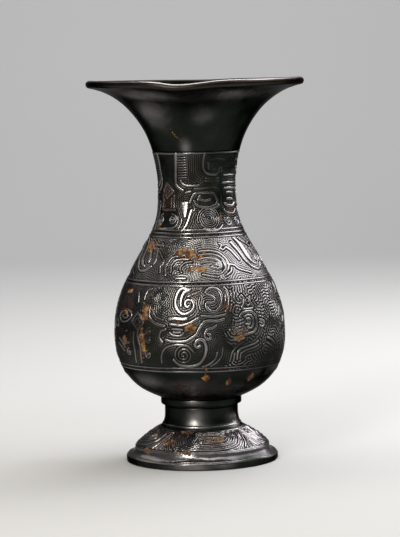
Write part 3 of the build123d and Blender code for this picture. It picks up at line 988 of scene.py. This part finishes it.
foot.carve([(45.6, 12.8), (49, 16.4), (53, 19.4), (57, 16.4), (60.4, 12.8)], 0.55, 0.9)
foot.carve([(50, 13), (53, 15.6), (56, 13)], 0.48, 0.8)
foot_ground = [(1.4, 0.5, (0.12, 0.86), -0.6, 0, None)]
foot_rise, foot_shine = relief_of(foot, foot_ground, sink=0.3, seed=24)
stem_bore = 22.1
foot_lap_radius, stem_lap_radius = 23.6, 23.8
lap_top = round((stem_bottom + lap_length) / MM, 1)
hollow_top, hollow_edge = (stem_bore, 20.5), (44.2, 8.57)
foot_under = MM * np.array([
    (foot_lap_radius, crease_height), (foot_lap_radius, lap_top), (stem_bore, lap_top),
    hollow_top, hollow_edge,
])
foot_section = np.concatenate([rim, foot.run, foot_under])
print("foot carved in", len(foot.run), "rows")

# %% [markdown]
# On the real vase the black skin has flaked off in places and shows an orange-brown ground. Each
# flake is a soft ellipse whose border is broken up by noise. They are stored on the mesh, so that
# flakes, worn ridges and dusty hollows can each drive their own part of the material.

# %% Flaked places
def away_from(points, angle, level, wide, tall):
    """Distance from a spot on the wall in degrees and mm, counted in its own half width and height."""
    turn = np.degrees(np.arctan2(points[..., 0], -points[..., 1]))
    across = ((turn - angle + 180) % 360 - 180) / wide
    return np.hypot(across, (points[..., 2] / MM - level) / tall)


def patches(points, spots, seed):
    """0 to 1 over ragged spots, each (angle, height, half width in degrees, half height in mm)."""
    ragged = 0.5 * cloud(points, 7 * MM, seed) + 0.5 * cloud(points, 2.4 * MM, seed + 1)
    mask = np.zeros(points.shape[:-1])
    for spot in spots:
        mask = np.maximum(mask, eased(1.15 - away_from(points, *spot) + ragged, 0.0, 0.9))
    return mask


neck_flakes = [(34, 166.5, 4, 3.2), (-62, 163, 6, 4), (150, 190, 5, 3), (-118, 170, 5, 2.4)]
shoulder_flakes = [
    (-12, 144.8, 18, 3.4), (2, 142, 8, 2), (1.5, 134.6, 6, 2.4), (-8, 134.6, 4, 2), (-61, 147.5, 12, 5),
    (118, 140, 8, 3), (-150, 146, 9, 2),
]
belly_flakes = [
    (-39.5, 107.5, 5.2, 8.6), (-41.6, 86, 3, 15), (-6.5, 96.4, 5.4, 3.4), (-14.5, 99.4, 4, 2),
    (27.5, 92, 6, 5.5), (17, 110.2, 4.6, 1.7), (-3, 119, 6, 1.8), (3.6, 68, 1.0, 4.2),
    (-62, 106, 7, 2.6), (-60, 87.5, 5, 5), (-63, 119, 5, 2), (24, 88, 5, 2), (84, 98, 4, 6),
    (126, 84, 5, 5), (158, 110, 6, 3), (-152, 92, 3, 8), (-112, 116, 6, 2), (-95, 78, 4, 3),
]
foot_flakes = [
    (-34, 17, 9, 2.4), (-22, 23, 9, 2.2), (-53, 10.8, 8, 1.6), (-16, 11, 8, 2), (7, 19.2, 8, 1.6),
    (20, 18.6, 7, 1.6), (-66, 20, 9, 2.8), (110, 16, 9, 2.6), (165, 20, 8, 2), (-140, 14, 10, 2.2),
]
streak_heights = (228.4, 226.4, 224.8, 223.6, 222.8, 222.2, 221.6, 221.1, 220.6)
mouth_flakes = [(-28.0 + 1.5 * step, height - 1.4, 1.3, 1.0) for step, height in enumerate(streak_heights)]
mouth_flakes.append((128, 230, 5, 2.2))
flake_lists = (neck_flakes, shoulder_flakes, belly_flakes, foot_flakes, mouth_flakes)
print("flakes", sum(len(flakes) for flakes in flake_lists))

# %% [markdown]
# Now the carved castings can be made. Each takes its section, its relief, and marks for the shader.
# Soft spots add to the shine of the ridges or take from it: they are painted highlights and painted
# shade, which make the skin more or less reflective where the vase should look lighter or darker
# under its lamps. A slow unevenness moves the rows that show, since no wall that was finished by
# hand is quite true.

# %% Carved castings
def soft_spots(points, spots):
    """Soft spots, each (angle, height, half width in degrees, half height in mm, strength)."""
    share = np.zeros(points.shape[:-1])
    for *spot, strength in spots:
        share = np.maximum(share, strength * np.exp(-(away_from(points, *spot) ** 2)))
    return share


def wall_grid(section, columns):
    """Points in space of a turned section, without relief."""
    return around_axis(section[:, :1], section[:, 1:], columns)


def hand_made(points, deep, seed):
    """Slow unevenness of a casting that was finished by hand, in metres."""
    return deep * MM * cloud(points, 34 * MM, seed) + 0.25 * deep * MM * cloud(points, 9 * MM, seed + 1)


def padded_rows(values, section, before):
    """Values of the carved rows, with zeros for the rows of the section before and after them."""
    after = len(section) - before - len(values)
    return np.pad(values, ((before, after), (0, 0)))


def carved_casting(
    name, node, section, band, rise, shine, flakes, red, seed,
    before=0, plain=None, plain_sway=0.0, polish=(), dull=(), lift=None,
):
    """A ring with a carved band, from its section and the band's relief and shine."""
    points = wall_grid(section, band.columns)
    carved_rows = before + len(band.run)
    uneven = hand_made(points, 0.10, seed) + plain_sway * hand_made(points, 0.5, seed + 5)
    uneven[carved_rows:] = 0
    uneven *= eased(section[:, 1:], section[:, 1].min(), section[:, 1].min() + 2.5 * MM)
    shine = padded_rows(shine, section, before)
    lost = patches(points, flakes, seed + 40) * (1 - 0.6 * eased(shine, 0.5, 0.85))
    shine[:before] = PLAIN if plain is None else plain[:, None]
    # The polish spots paint highlights and the dull spots paint shade into the shine mark
    marks = {
        "relief": shine * (1 - soft_spots(points, dull)) + soft_spots(points, polish),
        "flake": lost,
        "reddish": 0.9 * patches(points, red, 71),
    }
    relief = padded_rows(rise, section, before) + uneven - 0.15 * MM * lost
    return turned_piece(name, node, section, band.columns, relief, marks, lift, inside_from=carved_rows)


neck_piece = carved_casting(
    "neck", "neck_sleeve", neck_section, neck, neck_rise, neck_shine, neck_flakes,
    red=[(-50, 184, 15, 7), (-50, 176, 14, 6), (57, 172, 9, 4)], seed=31,
    # Painted shade: the dull spots make the neck's skin less reflective where it should look darker
    dull=[
        (28, 205, 36, 16, 0.75), (28, 186, 28, 12, 0.72), (-22, 200, 40, 20, 0.42),
        (150, 200, 60, 18, 0.5), (-110, 200, 50, 18, 0.4), (-12, 185, 14, 9, 0.5),
        (-4, 181, 40, 11, 0.5), (0, 164, 60, 9, 0.28), (-18, 172, 8, 6, 0.52),
        (-20, 212, 70, 2.4, 0.55),
    ],
)
shoulder_piece = carved_casting(
    "shoulder", "shoulder_shell", shoulder_section, shoulder, shoulder_rise, shoulder_shine,
    shoulder_flakes, red=[(-60, 149, 16, 6), (-6, 143, 18, 4)], seed=32,
    # Painted highlights to the right of the front and painted shade near its middle and left
    polish=[(13, 138, 9, 9, 0.24), (80, 134, 18, 8, 0.2)],
    dull=[(-9, 143, 10, 6, 0.28), (-32, 146, 12, 8, 0.25), (8, 131, 8, 4, 0.2)],
)
belly_piece = carved_casting(
    "belly", "belly_bowl", belly_section, belly, belly_rise, belly_shine, belly_flakes,
    red=[(-62, 108, 10, 7), (-42, 88, 5, 14), (20, 109, 6, 4)], seed=33, before=len(bowl_run),
    # Painted reflections that lighten the bowl at the front and lower left
    polish=[
        (-48, 58, 22, 7, 0.34), (-12, 53, 30, 8, 0.34), (0, 53, 70, 6, 0.22), (-2, 47.5, 44, 4.5, 0.46),
    ],
    # Painted shade on the lower belly and on parts of the mask
    dull=[
        (52, 74, 46, 16, 0.74), (66, 94, 26, 12, 0.3), (-6, 75, 50, 13, 0.62), (-38, 92, 28, 15, 0.6),
        (-14, 95, 14, 7, 0.68), (-14, 101, 12, 4, 0.5), (30, 84, 28, 11, 0.7), (20, 100, 50, 9, 0.18),
        (180, 74, 60, 18, 0.6), (-120, 76, 50, 16, 0.5),
    ],
)

# %% [markdown]
# The foot's rolled rim shines along its upper edge and wanders up and down a little, as if it had
# been pressed by hand. Its standing ring stays flat, or the vase would rock.

# %% Foot
rim_crease = 5.3 * MM
rim_glint = np.exp(-(((rim[:, 1] - rim_crease) / (0.7 * MM)) ** 2))
rim_shine = 0.2 + 0.8 * rim_glint + 0.3 * eased(rim[:, 1], rim_crease, rim_crease + 1.5 * MM)


def wavy_rim(angle, section):
    """How far the rim wanders up and down around the foot, in metres."""
    turn = np.radians(angle)
    wander = np.sin(3 * turn + 0.6) + 0.8 * np.sin(7 * turn + 2.2) + 0.6 * np.sin(13 * turn + 4.0)
    level = section[:, 1:]
    share = np.exp(-(((level - rim_crease) / (2.4 * MM)) ** 2)) * eased(level, 0.3 * MM, 2.5 * MM)
    return 0.3 * MM * wander * share


foot_piece = carved_casting(
    "foot", "foot_skirt", foot_section, foot, foot_rise, foot_shine, foot_flakes,
    red=[(-40, 18, 24, 5), (12, 17, 14, 4)], seed=34, before=len(rim), plain=rim_shine, plain_sway=0.6,
    # Painted highlights on the front of the lower rim and the right of the slope, and painted shade in the
    # dull spots
    polish=[
        (-8, 2.2, 14, 1.6, 0.5), (16, 2.6, 10, 1.4, 0.35), (32, 17, 13, 6, 0.45), (48, 17, 16, 6, 0.45),
        (66, 20, 24, 5, 0.55),
    ],
    dull=[(40, 5, 22, 4.5, 0.75), (-44, 13, 16, 4, 0.2)],
    lift=wavy_rim,
)

# %% [markdown]
# The mouth has no ornament. Its lip was bent over the years and dips at the front, and it has worn
# bright on top and brown along its edge. Soft lighter spots on the trumpet and under the lip are
# painted reflections: they raise the shine where the mouth should look lighter. Inside, the black skin
# ends in a ragged border some way down, and raw metal shows below it.

# %% Mouth
lip_round = 2.5
lip = rounded((lip_radius / MM - lip_round, total_height / MM - lip_round), lip_round, -90, 90, 14) * MM
mouth_run = np.concatenate([run_of(outer_curve, mouth_seam, lip_start, 0.9 * MM)[:-1], lip])
inner_mouth = run_of(inner_curve, mouth_seam + lap_length, inner_curve[-1, 1], 1.2 * MM)[::-1]
mouth_section = np.concatenate([mouth_run, inner_mouth, below_lap(mouth_seam)])
mouth_columns = 512
mouth_grid = wall_grid(mouth_section, mouth_columns)
mouth_level = mouth_section[:, 1:]


def bent_lip(angle, section):
    """How far the lip stands above or below its level, in metres, around the vase."""
    turn = (angle + 180) % 360 - 180
    dip = -2.7 * np.exp(-(((turn + 9) / np.where(turn < -9, 11, 17)) ** 2))
    sway = -0.25 * np.cos(np.radians(2 * turn)) + 0.12 * np.sin(np.radians(5 * turn + 100))
    share = eased(section[:, 1:], total_height - 24 * MM, total_height - 1 * MM)
    return share * (dip + sway) * MM


worn_top = eased(mouth_level, total_height - 1.2 * MM, total_height - 0.2 * MM)
brown_edge = eased(mouth_level, total_height - 5.5 * MM, total_height - 3 * MM) * (1 - worn_top)
# Painted reflections on the trumpet and under the lip, as soft spots of more shine
painted_reflections_on_trumpet = [
    (-44, 238, 20, 11, 0.27), (6, 236, 13, 7, 0.17), (-13, 215, 8, 6, 0.28), (-38, 251, 30, 5, 0.34),
    (14, 251, 60, 5, 0.26),
]
lip_wear, lip_browning, streak_strength = 0.75, 0.3, 0.7
mouth_inside = (np.arange(len(mouth_section)) >= len(mouth_run))[:, None]
held = eased(mouth_level, mouth_seam + lap_length, mouth_seam + 3 * lap_length)
mouth_piece = turned_piece(
    "mouth",
    "mouth_flare",
    mouth_section,
    mouth_columns,
    relief=hand_made(mouth_grid, 0.16, 35) * held,
    marks={
        "relief": PLAIN + lip_wear * worn_top + soft_spots(mouth_grid, painted_reflections_on_trumpet) * ~mouth_inside,
        "flake": streak_strength * patches(mouth_grid, mouth_flakes, 75),
        "reddish": lip_browning * brown_edge * ~mouth_inside,
        "raw": mouth_inside * eased(total_height - mouth_level, 8 * MM, 26 * MM),
    },
    lift=bent_lip,
)

# %% [markdown]
# The stem is plain, with a rounded collar on top, a groove under it and a fine thread near its
# foot. Only the thread needs relief, and it is the same all round. Soft spots of more shine on the
# collar and the stem are painted highlights.

# %% Stem
stem_waist, collar_bottom, groove_bottom = 25.1, 39.0, 37.6
stem_rise = 14.1 * MM
stem_side = np.concatenate([
    flowing([(crease_radius * MM, stem_bottom, -54), (stem_waist * MM, stem_bottom + stem_rise, 0)], 40),
    bowed((stem_waist, groove_bottom), (stem_waist, collar_bottom), -0.5, 9) * MM,
    stepped([(stem_waist, collar_bottom), (26.7, collar_bottom)])[1:] * MM,
    rounded((26.7, 39.9), 0.9, -90, 0, 7)[1:] * MM,
    rounded((26.9, 43.1), 0.7, 0, 90, 6) * MM,
])
socket_radius = 23.7
stem_inside = MM * np.array([
    (socket_radius, collar_top), (socket_radius, tenon_end), (stem_bore, tenon_end),
    (stem_bore, lap_top), (stem_lap_radius, lap_top), (stem_lap_radius, crease_height),
])
stem_section = np.concatenate([stem_side, stem_inside])
stem_columns = 360
stem_outside = (np.arange(len(stem_section)) < len(stem_side))[:, None]
stem_thread = np.exp(-(((stem_section[:, 1:] - 25.6 * MM) / (0.45 * MM)) ** 2)) * stem_outside
stem_grid = wall_grid(stem_section, stem_columns)
# Painted highlights on the collar and the stem, as soft spots of more shine
painted_highlights_on_stem = [(-8, 30, 18, 8, 0.3), (-10, 42.2, 16, 1.6, 0.5), (58, 28.5, 16, 5, 0.35)]
stem_piece = turned_piece(
    "stem",
    "foot_stem",
    stem_section,
    stem_columns,
    relief=0.3 * MM * stem_thread,
    marks={
        "relief": PLAIN + 0.25 * stem_thread + soft_spots(stem_grid, painted_highlights_on_stem),
        "flake": patches(stem_grid, [(64, 32, 4, 3)], 76),
        "reddish": 0.0,
    },
    inside_from=len(stem_side),
)

# %% [markdown]
# The founder held the core of the mould in place with square iron pins, which stayed in the wall.
# Their rusted ends show in the plain bowl as small orange lozenges, each of its own shape, while
# others still lie under the black skin. Each is a little block set cornerwise through the wall,
# with a worn, slightly domed head and a mark that says how much of its rust shows.

# %% One core pin
pin_steps = 7
pin_half_diagonal, pin_depth = 2.83, 3.1
pin_upward_scale = 0.86
wall_lean = np.arctan2(np.gradient(outer_curve[:, 0]), np.gradient(outer_curve[:, 1]))


def pin_block(turn, level, wide, tall, sunk, dice):
    """Points of one pin's head and back, set square to the wall and sunk into it, in degrees and mm."""
    share = np.linspace(-1, 1, pin_steps)
    across, up = np.meshgrid(share, share, indexing="ij")
    edge = np.maximum(abs(across), abs(up))
    ragged = 1 + 0.16 * dice.normal(size=edge.shape) * (edge > 0.9)
    sideways = (across - up) / 2 * pin_half_diagonal * ragged * wide
    upward = (across + up) / 2 * pin_half_diagonal * ragged * tall
    height = (level + upward * pin_upward_scale) * MM
    lean = np.interp(height, outer_curve[:, 1], wall_lean)
    radius = radius_at(height)
    head = (0.30 - 0.22 * edge**3 + 0.05 * dice.normal(size=edge.shape) - sunk) * MM
    angle = math.radians(turn) + sideways * MM / radius
    layers = []
    for proud in (head, np.full(edge.shape, -pin_depth * MM)):
        out, tip = radius + proud * np.cos(lean), height - proud * np.sin(lean)
        layers.append(np.stack([out * np.sin(angle), -out * np.cos(angle), tip], axis=-1).reshape(-1, 3))
    return np.concatenate(layers)


def pin_block_faces():
    """Faces of a pin: its head, its back and its four sides."""
    index = np.arange(pin_steps * pin_steps).reshape(pin_steps, pin_steps)
    corners = index[:-1, :-1], index[1:, :-1], index[1:, 1:], index[:-1, 1:]
    head = [tuple(face) for face in np.stack(corners, axis=-1).reshape(-1, 4)]
    behind = pin_steps * pin_steps
    back = [tuple(behind + corner for corner in reversed(face)) for face in head]
    loop = list(index[:, 0]) + list(index[-1, 1:]) + list(index[-2::-1, -1]) + list(index[0, -2:0:-1])
    sides = [(here, here + behind, after + behind, after) for here, after in zip(loop, loop[1:] + loop[:1])]
    return head + back + sides


print("a pin has", len(pin_block_faces()), "faces")

# %% [markdown]
# Eighteen pins stand in a ring, one low and one high in turn. Those that show have a width, a
# height and a share of bare rust of their own, and three sit a little off their places.

# %% Ring of core pins
pin_count, first_pin, pin_level, pin_stagger = 18, -18.75, 60.5, 2.4
buried = (0.8, 0.8, 0.0)
faint = (0.8, 0.9, 0.3)
pin_looks = {
    0: (0.8, 0.8, 0.6), 1: (1.05, 1.3, 1.0), 2: (0.8, 1.35, 0.95), 3: (1.2, 1.25, 1.0), 4: buried,
    8: (0.9, 1.1, 0.9), 11: (0.8, 1.0, 0.8), 13: (0.9, 0.9, 0.7), 16: buried, 17: buried,
}
pin_shifts = {1: (2.4, -0.6), 2: (0.4, 0.4), 3: (-0.8, -2.4)}
pin_dice = np.random.default_rng(5)
pin_points, pin_faces, pin_bare = [], [], []
for number in range(pin_count):
    wide, tall, bare = pin_looks.get(number, faint)
    aside, above = pin_shifts.get(number, (0, 0))
    turn = first_pin + 360 / pin_count * number + aside
    level = pin_level + (-pin_stagger if number % 2 == 0 else pin_stagger) + above
    sunk = 0.0 if bare else 0.7
    start = len(pin_bare)
    pin_points.append(pin_block(turn, level, wide, tall, sunk, pin_dice))
    pin_bare += [bare] * len(pin_points[-1])
    pin_faces += [tuple(int(start + corner) for corner in face) for face in pin_block_faces()]
pin_mesh = bpy.data.meshes.new("pins")
pin_mesh.from_pydata(np.concatenate(pin_points).tolist(), [], pin_faces)
pin_mesh.attributes.new("bare", "FLOAT", "POINT").data.foreach_set("value", pin_bare)
pin_piece = bpy.data.objects.new("pins", pin_mesh)
bpy.context.collection.objects.link(pin_piece)
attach(pin_piece, "root")
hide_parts("core_pins")
print("pins", len(pin_faces), "faces")

# %% [markdown]
# The finishes share four effects: the fine grain of a casting, ridges rubbed by hands, dust in the
# hollows and flakes of lost skin. Each is a node group, made once and placed in every material
# that needs it. A small helper adds a node and fills or links its inputs, which keeps the wiring
# short enough to read.

# %% Helpers for node trees
def node(tree, kind, values=None, **settings):
    """A new node with its settings, whose inputs are given values or linked to sockets."""
    made = tree.nodes.new(kind)
    for key, value in settings.items():
        setattr(made, key, value)
    for key, value in (values or {}).items():
        if isinstance(value, bpy.types.NodeSocket):
            tree.links.new(value, made.inputs[key])
        else:
            made.inputs[key].default_value = value
    return made


def mixed(tree, share, first, second):
    """Two colours or two numbers, mixed by a share."""
    colours = isinstance(second, tuple) or getattr(second, "type", "") == "RGBA"
    if not colours:
        return node(tree, "ShaderNodeMix", {0: share, 2: first, 3: second}).outputs[0]
    first, second = [(*colour, 1) if isinstance(colour, tuple) else colour for colour in (first, second)]
    return node(tree, "ShaderNodeMix", {0: share, 6: first, 7: second}, data_type="RGBA").outputs[2]


def soft_step(tree, value, low, high):
    """0 below low and 1 above high, with a soft step between."""
    inputs = {"Value": value, "From Min": low, "From Max": high}
    return node(tree, "ShaderNodeMapRange", inputs, interpolation_type="SMOOTHSTEP").outputs["Result"]


def sums(tree, operation, *numbers):
    """A product, difference or other operation on two or three numbers."""
    return node(tree, "ShaderNodeMath", dict(enumerate(numbers)), operation=operation).outputs[0]


def noise(tree, place, scale, detail=3.0, rough=0.55):
    """Noise from 0 to 1 at a scale per metre."""
    inputs = {"Vector": place, "Scale": scale, "Detail": detail, "Roughness": rough}
    return node(tree, "ShaderNodeTexNoise", inputs).outputs["Fac"]


print("node helpers ready")

# %% [markdown]
# A group has sockets of its own for what goes in and what comes out. Grain gives a fine roughness,
# broad clouds that shift the tone, and sparse pits, all from noise in the object's own space, so
# that they run on from one casting to the next.

# %% Casting grain
VALUE, COLOUR = "NodeSocketFloat", "NodeSocketColor"


def effect(name, inputs, outputs):
    """An empty node group with named inputs, each with a value, and named outputs."""
    tree = bpy.data.node_groups.new(name, "ShaderNodeTree")
    for label, value in inputs.items():
        socket = tree.interface.new_socket(label, in_out="INPUT", socket_type=VALUE)
        socket.default_value = value
    for label, kind in outputs.items():
        tree.interface.new_socket(label, in_out="OUTPUT", socket_type=kind)
    entry, leave = tree.nodes.new("NodeGroupInput"), tree.nodes.new("NodeGroupOutput")
    place = node(tree, "ShaderNodeTexCoord").outputs["Object"]
    return tree, entry.outputs, leave.inputs, place


def casting_grain():
    """Fine grain, broad clouds and sparse pits."""
    outputs = {"Grain": VALUE, "Cloud": VALUE, "Pits": VALUE}
    tree, given, result, place = effect("casting grain", {"Scale": 1.0}, outputs)
    sizing = {0: place, "Scale": given["Scale"]}
    scaled = node(tree, "ShaderNodeVectorMath", sizing, operation="SCALE").outputs[0]
    tree.links.new(noise(tree, scaled, 1100, 4), result["Grain"])
    tree.links.new(soft_step(tree, noise(tree, scaled, 60, 5, 0.62), 0.35, 0.68), result["Cloud"])
    dots = node(tree, "ShaderNodeTexVoronoi", {"Vector": scaled, "Scale": 420}).outputs["Distance"]
    sparse = soft_step(tree, noise(tree, scaled, 150), 0.56, 0.66)
    tree.links.new(sums(tree, "MULTIPLY", soft_step(tree, dots, 0.3, 0.1), sparse), result["Pits"])
    return tree


grain_tree = casting_grain()
print("group", grain_tree.name)

# %% [markdown]
# Wear and dust both read the shine that was stored with the relief. High places are rubbed, in
# an uneven way, and the lowest hollows hold dust. Where soft spots have raised or lowered that shine,
# the wear is painted highlight or painted shade instead.

# %% Handling wear and dust in the recesses
def handling_wear():
    """Where hands have rubbed the skin, from a level of the relief where wear starts to full wear."""
    inputs = {"Relief": 0.5, "Start": 0.6, "Full": 1.0}
    tree, given, result, place = effect("handling wear", inputs, {"Wear": VALUE})
    uneven = sums(tree, "MULTIPLY_ADD", noise(tree, place, 130, 4), 0.56, 0.72)
    crest = sums(tree, "MULTIPLY", uneven, given["Relief"])
    tree.links.new(soft_step(tree, crest, given["Start"], given["Full"]), result["Wear"])
    return tree


def recess_dust():
    """Where dust has lodged, in hollows below a depth of the relief."""
    tree, given, result, place = effect("recess dust", {"Relief": 0.5, "Depth": 0.35}, {"Dust": VALUE})
    hollow = sums(tree, "SUBTRACT", given["Depth"], given["Relief"])
    lodged = soft_step(tree, noise(tree, place, 75, 5, 0.6), 0.36, 0.62)
    tree.links.new(sums(tree, "MULTIPLY", soft_step(tree, hollow, 0.0, 0.1), lodged), result["Dust"])
    return tree


wear_tree = handling_wear()
dust_tree = recess_dust()
print("groups", wear_tree.name, "and", dust_tree.name)

# %% [markdown]
# A flake is not one flat orange. It runs from brown earth in streaks to sandy and ochre crusts, and
# noise eats into its border. The group gives both the border and the colour.

# %% Flaked skin
EARTH_DARK, EARTH_LIGHT = (0.050, 0.026, 0.015), (0.135, 0.073, 0.039)
SAND, OCHRE = (0.205, 0.128, 0.080), (0.330, 0.172, 0.054)


def flaked_skin():
    """The ragged border and the colours of places where the skin is lost."""
    tree, given, result, place = effect("flaked skin", {"Flake": 0.0}, {"Bare": VALUE, "Colour": COLOUR})
    broken = sums(tree, "MULTIPLY_ADD", noise(tree, place, 420, 5, 0.65), 0.9, given["Flake"])
    tree.links.new(soft_step(tree, sums(tree, "SUBTRACT", broken, 0.45), 0.42, 0.62), result["Bare"])
    streak = soft_step(tree, noise(tree, place, 520, 5, 0.65), 0.38, 0.62)
    earth = mixed(tree, streak, EARTH_DARK, EARTH_LIGHT)
    warmth = soft_step(tree, noise(tree, place, 24, 1), 0.44, 0.56)
    crust = mixed(tree, warmth, SAND, OCHRE)
    light = soft_step(tree, noise(tree, place, 260, 4), 0.46, 0.64)
    tree.links.new(mixed(tree, light, earth, crust), result["Colour"])
    return tree


flake_tree = flaked_skin()
print("group", flake_tree.name)

# %% [markdown]
# The outer skin is a black patina, waxed and polished by hands. It is dark enough that its shape is
# read from reflections alone, so roughness matters more than colour: smoothest on the rubbed
# ridges, duller on the skin between them and where dust has lodged, and dry on the flakes. The
# inside was never polished and is browner. In the mouth the skin runs over the lip and ends in a
# ragged border, so the outer material can turn into raw metal where it is told to.

# %% Bronze
RAW_DARK, RAW_LIGHT = (0.045, 0.034, 0.022), (0.085, 0.060, 0.036)
RUBBED_RED = (0.085, 0.034, 0.024)
RAW_ROUGH, DUST_ROUGH, FLAKE_ROUGH = 0.6, 0.65, 0.75
WEAR_START, WEAR_FULL = 0.13, 0.65
DUST_SHARE, RED_SHARE = 0.75, 0.45


def place_effect(tree, group, values):
    """A node group placed in a material, with its inputs set or linked."""
    return node(tree, "ShaderNodeGroup", values, node_tree=group).outputs


def mark(tree, name):
    """A number stored on the mesh."""
    return node(tree, "ShaderNodeAttribute", attribute_name=name).outputs["Fac"]


def new_material(name):
    """A material with nodes, its tree and its main shader."""
    material = bpy.data.materials.new(name)
    material.use_nodes = True
    return material, material.node_tree, material.node_tree.nodes["Principled BSDF"]


def add_bumps(tree, surface, height, strength, depth):
    """Fine bumps from a height, with their depth in metres."""
    bump = node(tree, "ShaderNodeBump", {"Height": height, "Strength": strength, "Distance": depth})
    tree.links.new(bump.outputs["Normal"], surface.inputs["Normal"])


def dim_edges(surface):
    """Weak reflections where the surface is seen edge on, as on an oxide."""
    surface.inputs["Specular IOR Level"].default_value = 0.25
    surface.inputs["Specular Tint"].default_value = (0.22, 0.22, 0.22, 1)


def bronze_material(name, skin, tone, rubbed, dusty, gloss, dull, handled, bump_depth):
    """Patinated bronze: skin and tone make the ground, rubbed shows on ridges and dusty in hollows."""
    material, tree, surface = new_material(name)
    relief = mark(tree, "relief")
    grain = place_effect(tree, grain_tree, {"Scale": 1.0})
    wear = place_effect(tree, wear_tree, {"Relief": relief, "Start": WEAR_START, "Full": WEAR_FULL})["Wear"]
    dust = place_effect(tree, dust_tree, {"Relief": relief, "Depth": PLAIN})["Dust"]
    flake = place_effect(tree, flake_tree, {"Flake": mark(tree, "flake")})
    raw = soft_step(tree, sums(tree, "MULTIPLY_ADD", grain["Cloud"], 0.5, mark(tree, "raw")), 0.5, 0.95)

    colour = mixed(tree, grain["Cloud"], skin, tone)
    colour = mixed(tree, raw, colour, mixed(tree, grain["Cloud"], RAW_DARK, RAW_LIGHT))
    colour = mixed(tree, sums(tree, "MULTIPLY", dust, DUST_SHARE), colour, dusty)
    # The rubbed colour also shows where soft spots paint highlights into the shine mark
    colour = mixed(tree, wear, colour, rubbed)
    colour = mixed(tree, sums(tree, "MULTIPLY", mark(tree, "reddish"), RED_SHARE), colour, RUBBED_RED)
    colour = mixed(tree, flake["Bare"], colour, flake["Colour"])
    tree.links.new(colour, surface.inputs["Base Color"])

    polish = mixed(tree, grain["Cloud"], gloss, dull)
    polish = mixed(tree, wear, polish, handled)
    polish = mixed(tree, raw, polish, RAW_ROUGH)
    polish = mixed(tree, dust, polish, DUST_ROUGH)
    polish = mixed(tree, flake["Bare"], polish, FLAKE_ROUGH)
    tree.links.new(polish, surface.inputs["Roughness"])
    metal = mixed(tree, dust, 1.0, 0.3)
    tree.links.new(mixed(tree, flake["Bare"], metal, 0.0), surface.inputs["Metallic"])

    height = sums(tree, "MULTIPLY", grain["Grain"], 0.25)
    height = sums(tree, "SUBTRACT", height, sums(tree, "MULTIPLY", grain["Pits"], 0.6))
    height = sums(tree, "SUBTRACT", height, sums(tree, "MULTIPLY", flake["Bare"], 0.5))
    add_bumps(tree, surface, height, 0.5, bump_depth)
    dim_edges(surface)
    return material


outer_bronze = bronze_material(
    "waxed black bronze",
    skin=(0.0127, 0.0154, 0.0128),
    tone=(0.0198, 0.0231, 0.0196),
    rubbed=(0.255, 0.240, 0.243),
    dusty=(0.020, 0.014, 0.009),
    gloss=0.32,
    dull=0.44,
    handled=0.22,
    bump_depth=0.0003,
)
inner_bronze = bronze_material(
    "raw inside of the casting",
    skin=RAW_DARK,
    tone=RAW_LIGHT,
    rubbed=(0.10, 0.07, 0.04),
    dusty=(0.09, 0.075, 0.055),
    gloss=0.50,
    dull=0.72,
    handled=0.45,
    bump_depth=0.0006,
)
for piece in (neck_piece, shoulder_piece, belly_piece, foot_piece, mouth_piece, stem_piece):
    piece.data.materials.append(outer_bronze)
    piece.data.materials.append(inner_bronze)
print("bronze on six castings")

# %% [markdown]
# The pins are iron, rusted to orange and brown with a crumbly surface. The floor plate and the
# solder of the seams are CAD solids whose shape is already right, so they only get a finish.

# %% Iron, solder and floor
RUST, RUST_PIT = (0.085, 0.030, 0.012), (0.03, 0.012, 0.008)
COVERED_PIN = (0.010, 0.0105, 0.0095)
COVERED_ROUGH, RUST_ROUGH = 0.3, 0.8
SOLDER_DARK, SOLDER_LIGHT = (0.16, 0.16, 0.155), (0.30, 0.30, 0.29)


def rust_material():
    """Crumbly orange-brown rust, which gives way to black skin where a pin is still covered."""
    material, tree, surface = new_material("rusted core iron")
    grain = place_effect(tree, grain_tree, {"Scale": 2.2})
    flake = place_effect(tree, flake_tree, {"Flake": 0.9})
    bare = mark(tree, "bare")
    colour = mixed(tree, grain["Cloud"], RUST, flake["Colour"])
    colour = mixed(tree, grain["Pits"], colour, RUST_PIT)
    tree.links.new(mixed(tree, bare, COVERED_PIN, colour), surface.inputs["Base Color"])
    tree.links.new(mixed(tree, bare, COVERED_ROUGH, RUST_ROUGH), surface.inputs["Roughness"])
    tree.links.new(mixed(tree, bare, 1.0, 0.0), surface.inputs["Metallic"])
    add_bumps(tree, surface, grain["Grain"], 0.8, 0.0005)
    dim_edges(surface)
    return material


def solder_material():
    """Dull grey solder with a mottled oxide."""
    material, tree, surface = new_material("dull solder")
    grain = place_effect(tree, grain_tree, {"Scale": 1.6})
    tree.links.new(mixed(tree, grain["Cloud"], SOLDER_DARK, SOLDER_LIGHT), surface.inputs["Base Color"])
    tree.links.new(mixed(tree, grain["Grain"], 0.45, 0.7), surface.inputs["Roughness"])
    surface.inputs["Metallic"].default_value = 0.9
    add_bumps(tree, surface, grain["Grain"], 0.3, 0.0003)
    return material


def finish_node(name, material):
    """Gives a solid that stays as it is a better finish."""
    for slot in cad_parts[name].material_slots:
        slot.link = "OBJECT"
        slot.material = material


pin_mesh.materials.append(rust_material())
solder = solder_material()
for seam in ("mouth", "neck", "shoulder", "floor", "stem", "foot"):
    finish_node(seam + "_solder", solder)
finish_node("vessel_floor", inner_bronze)
print("finished", len(bpy.data.materials), "materials")
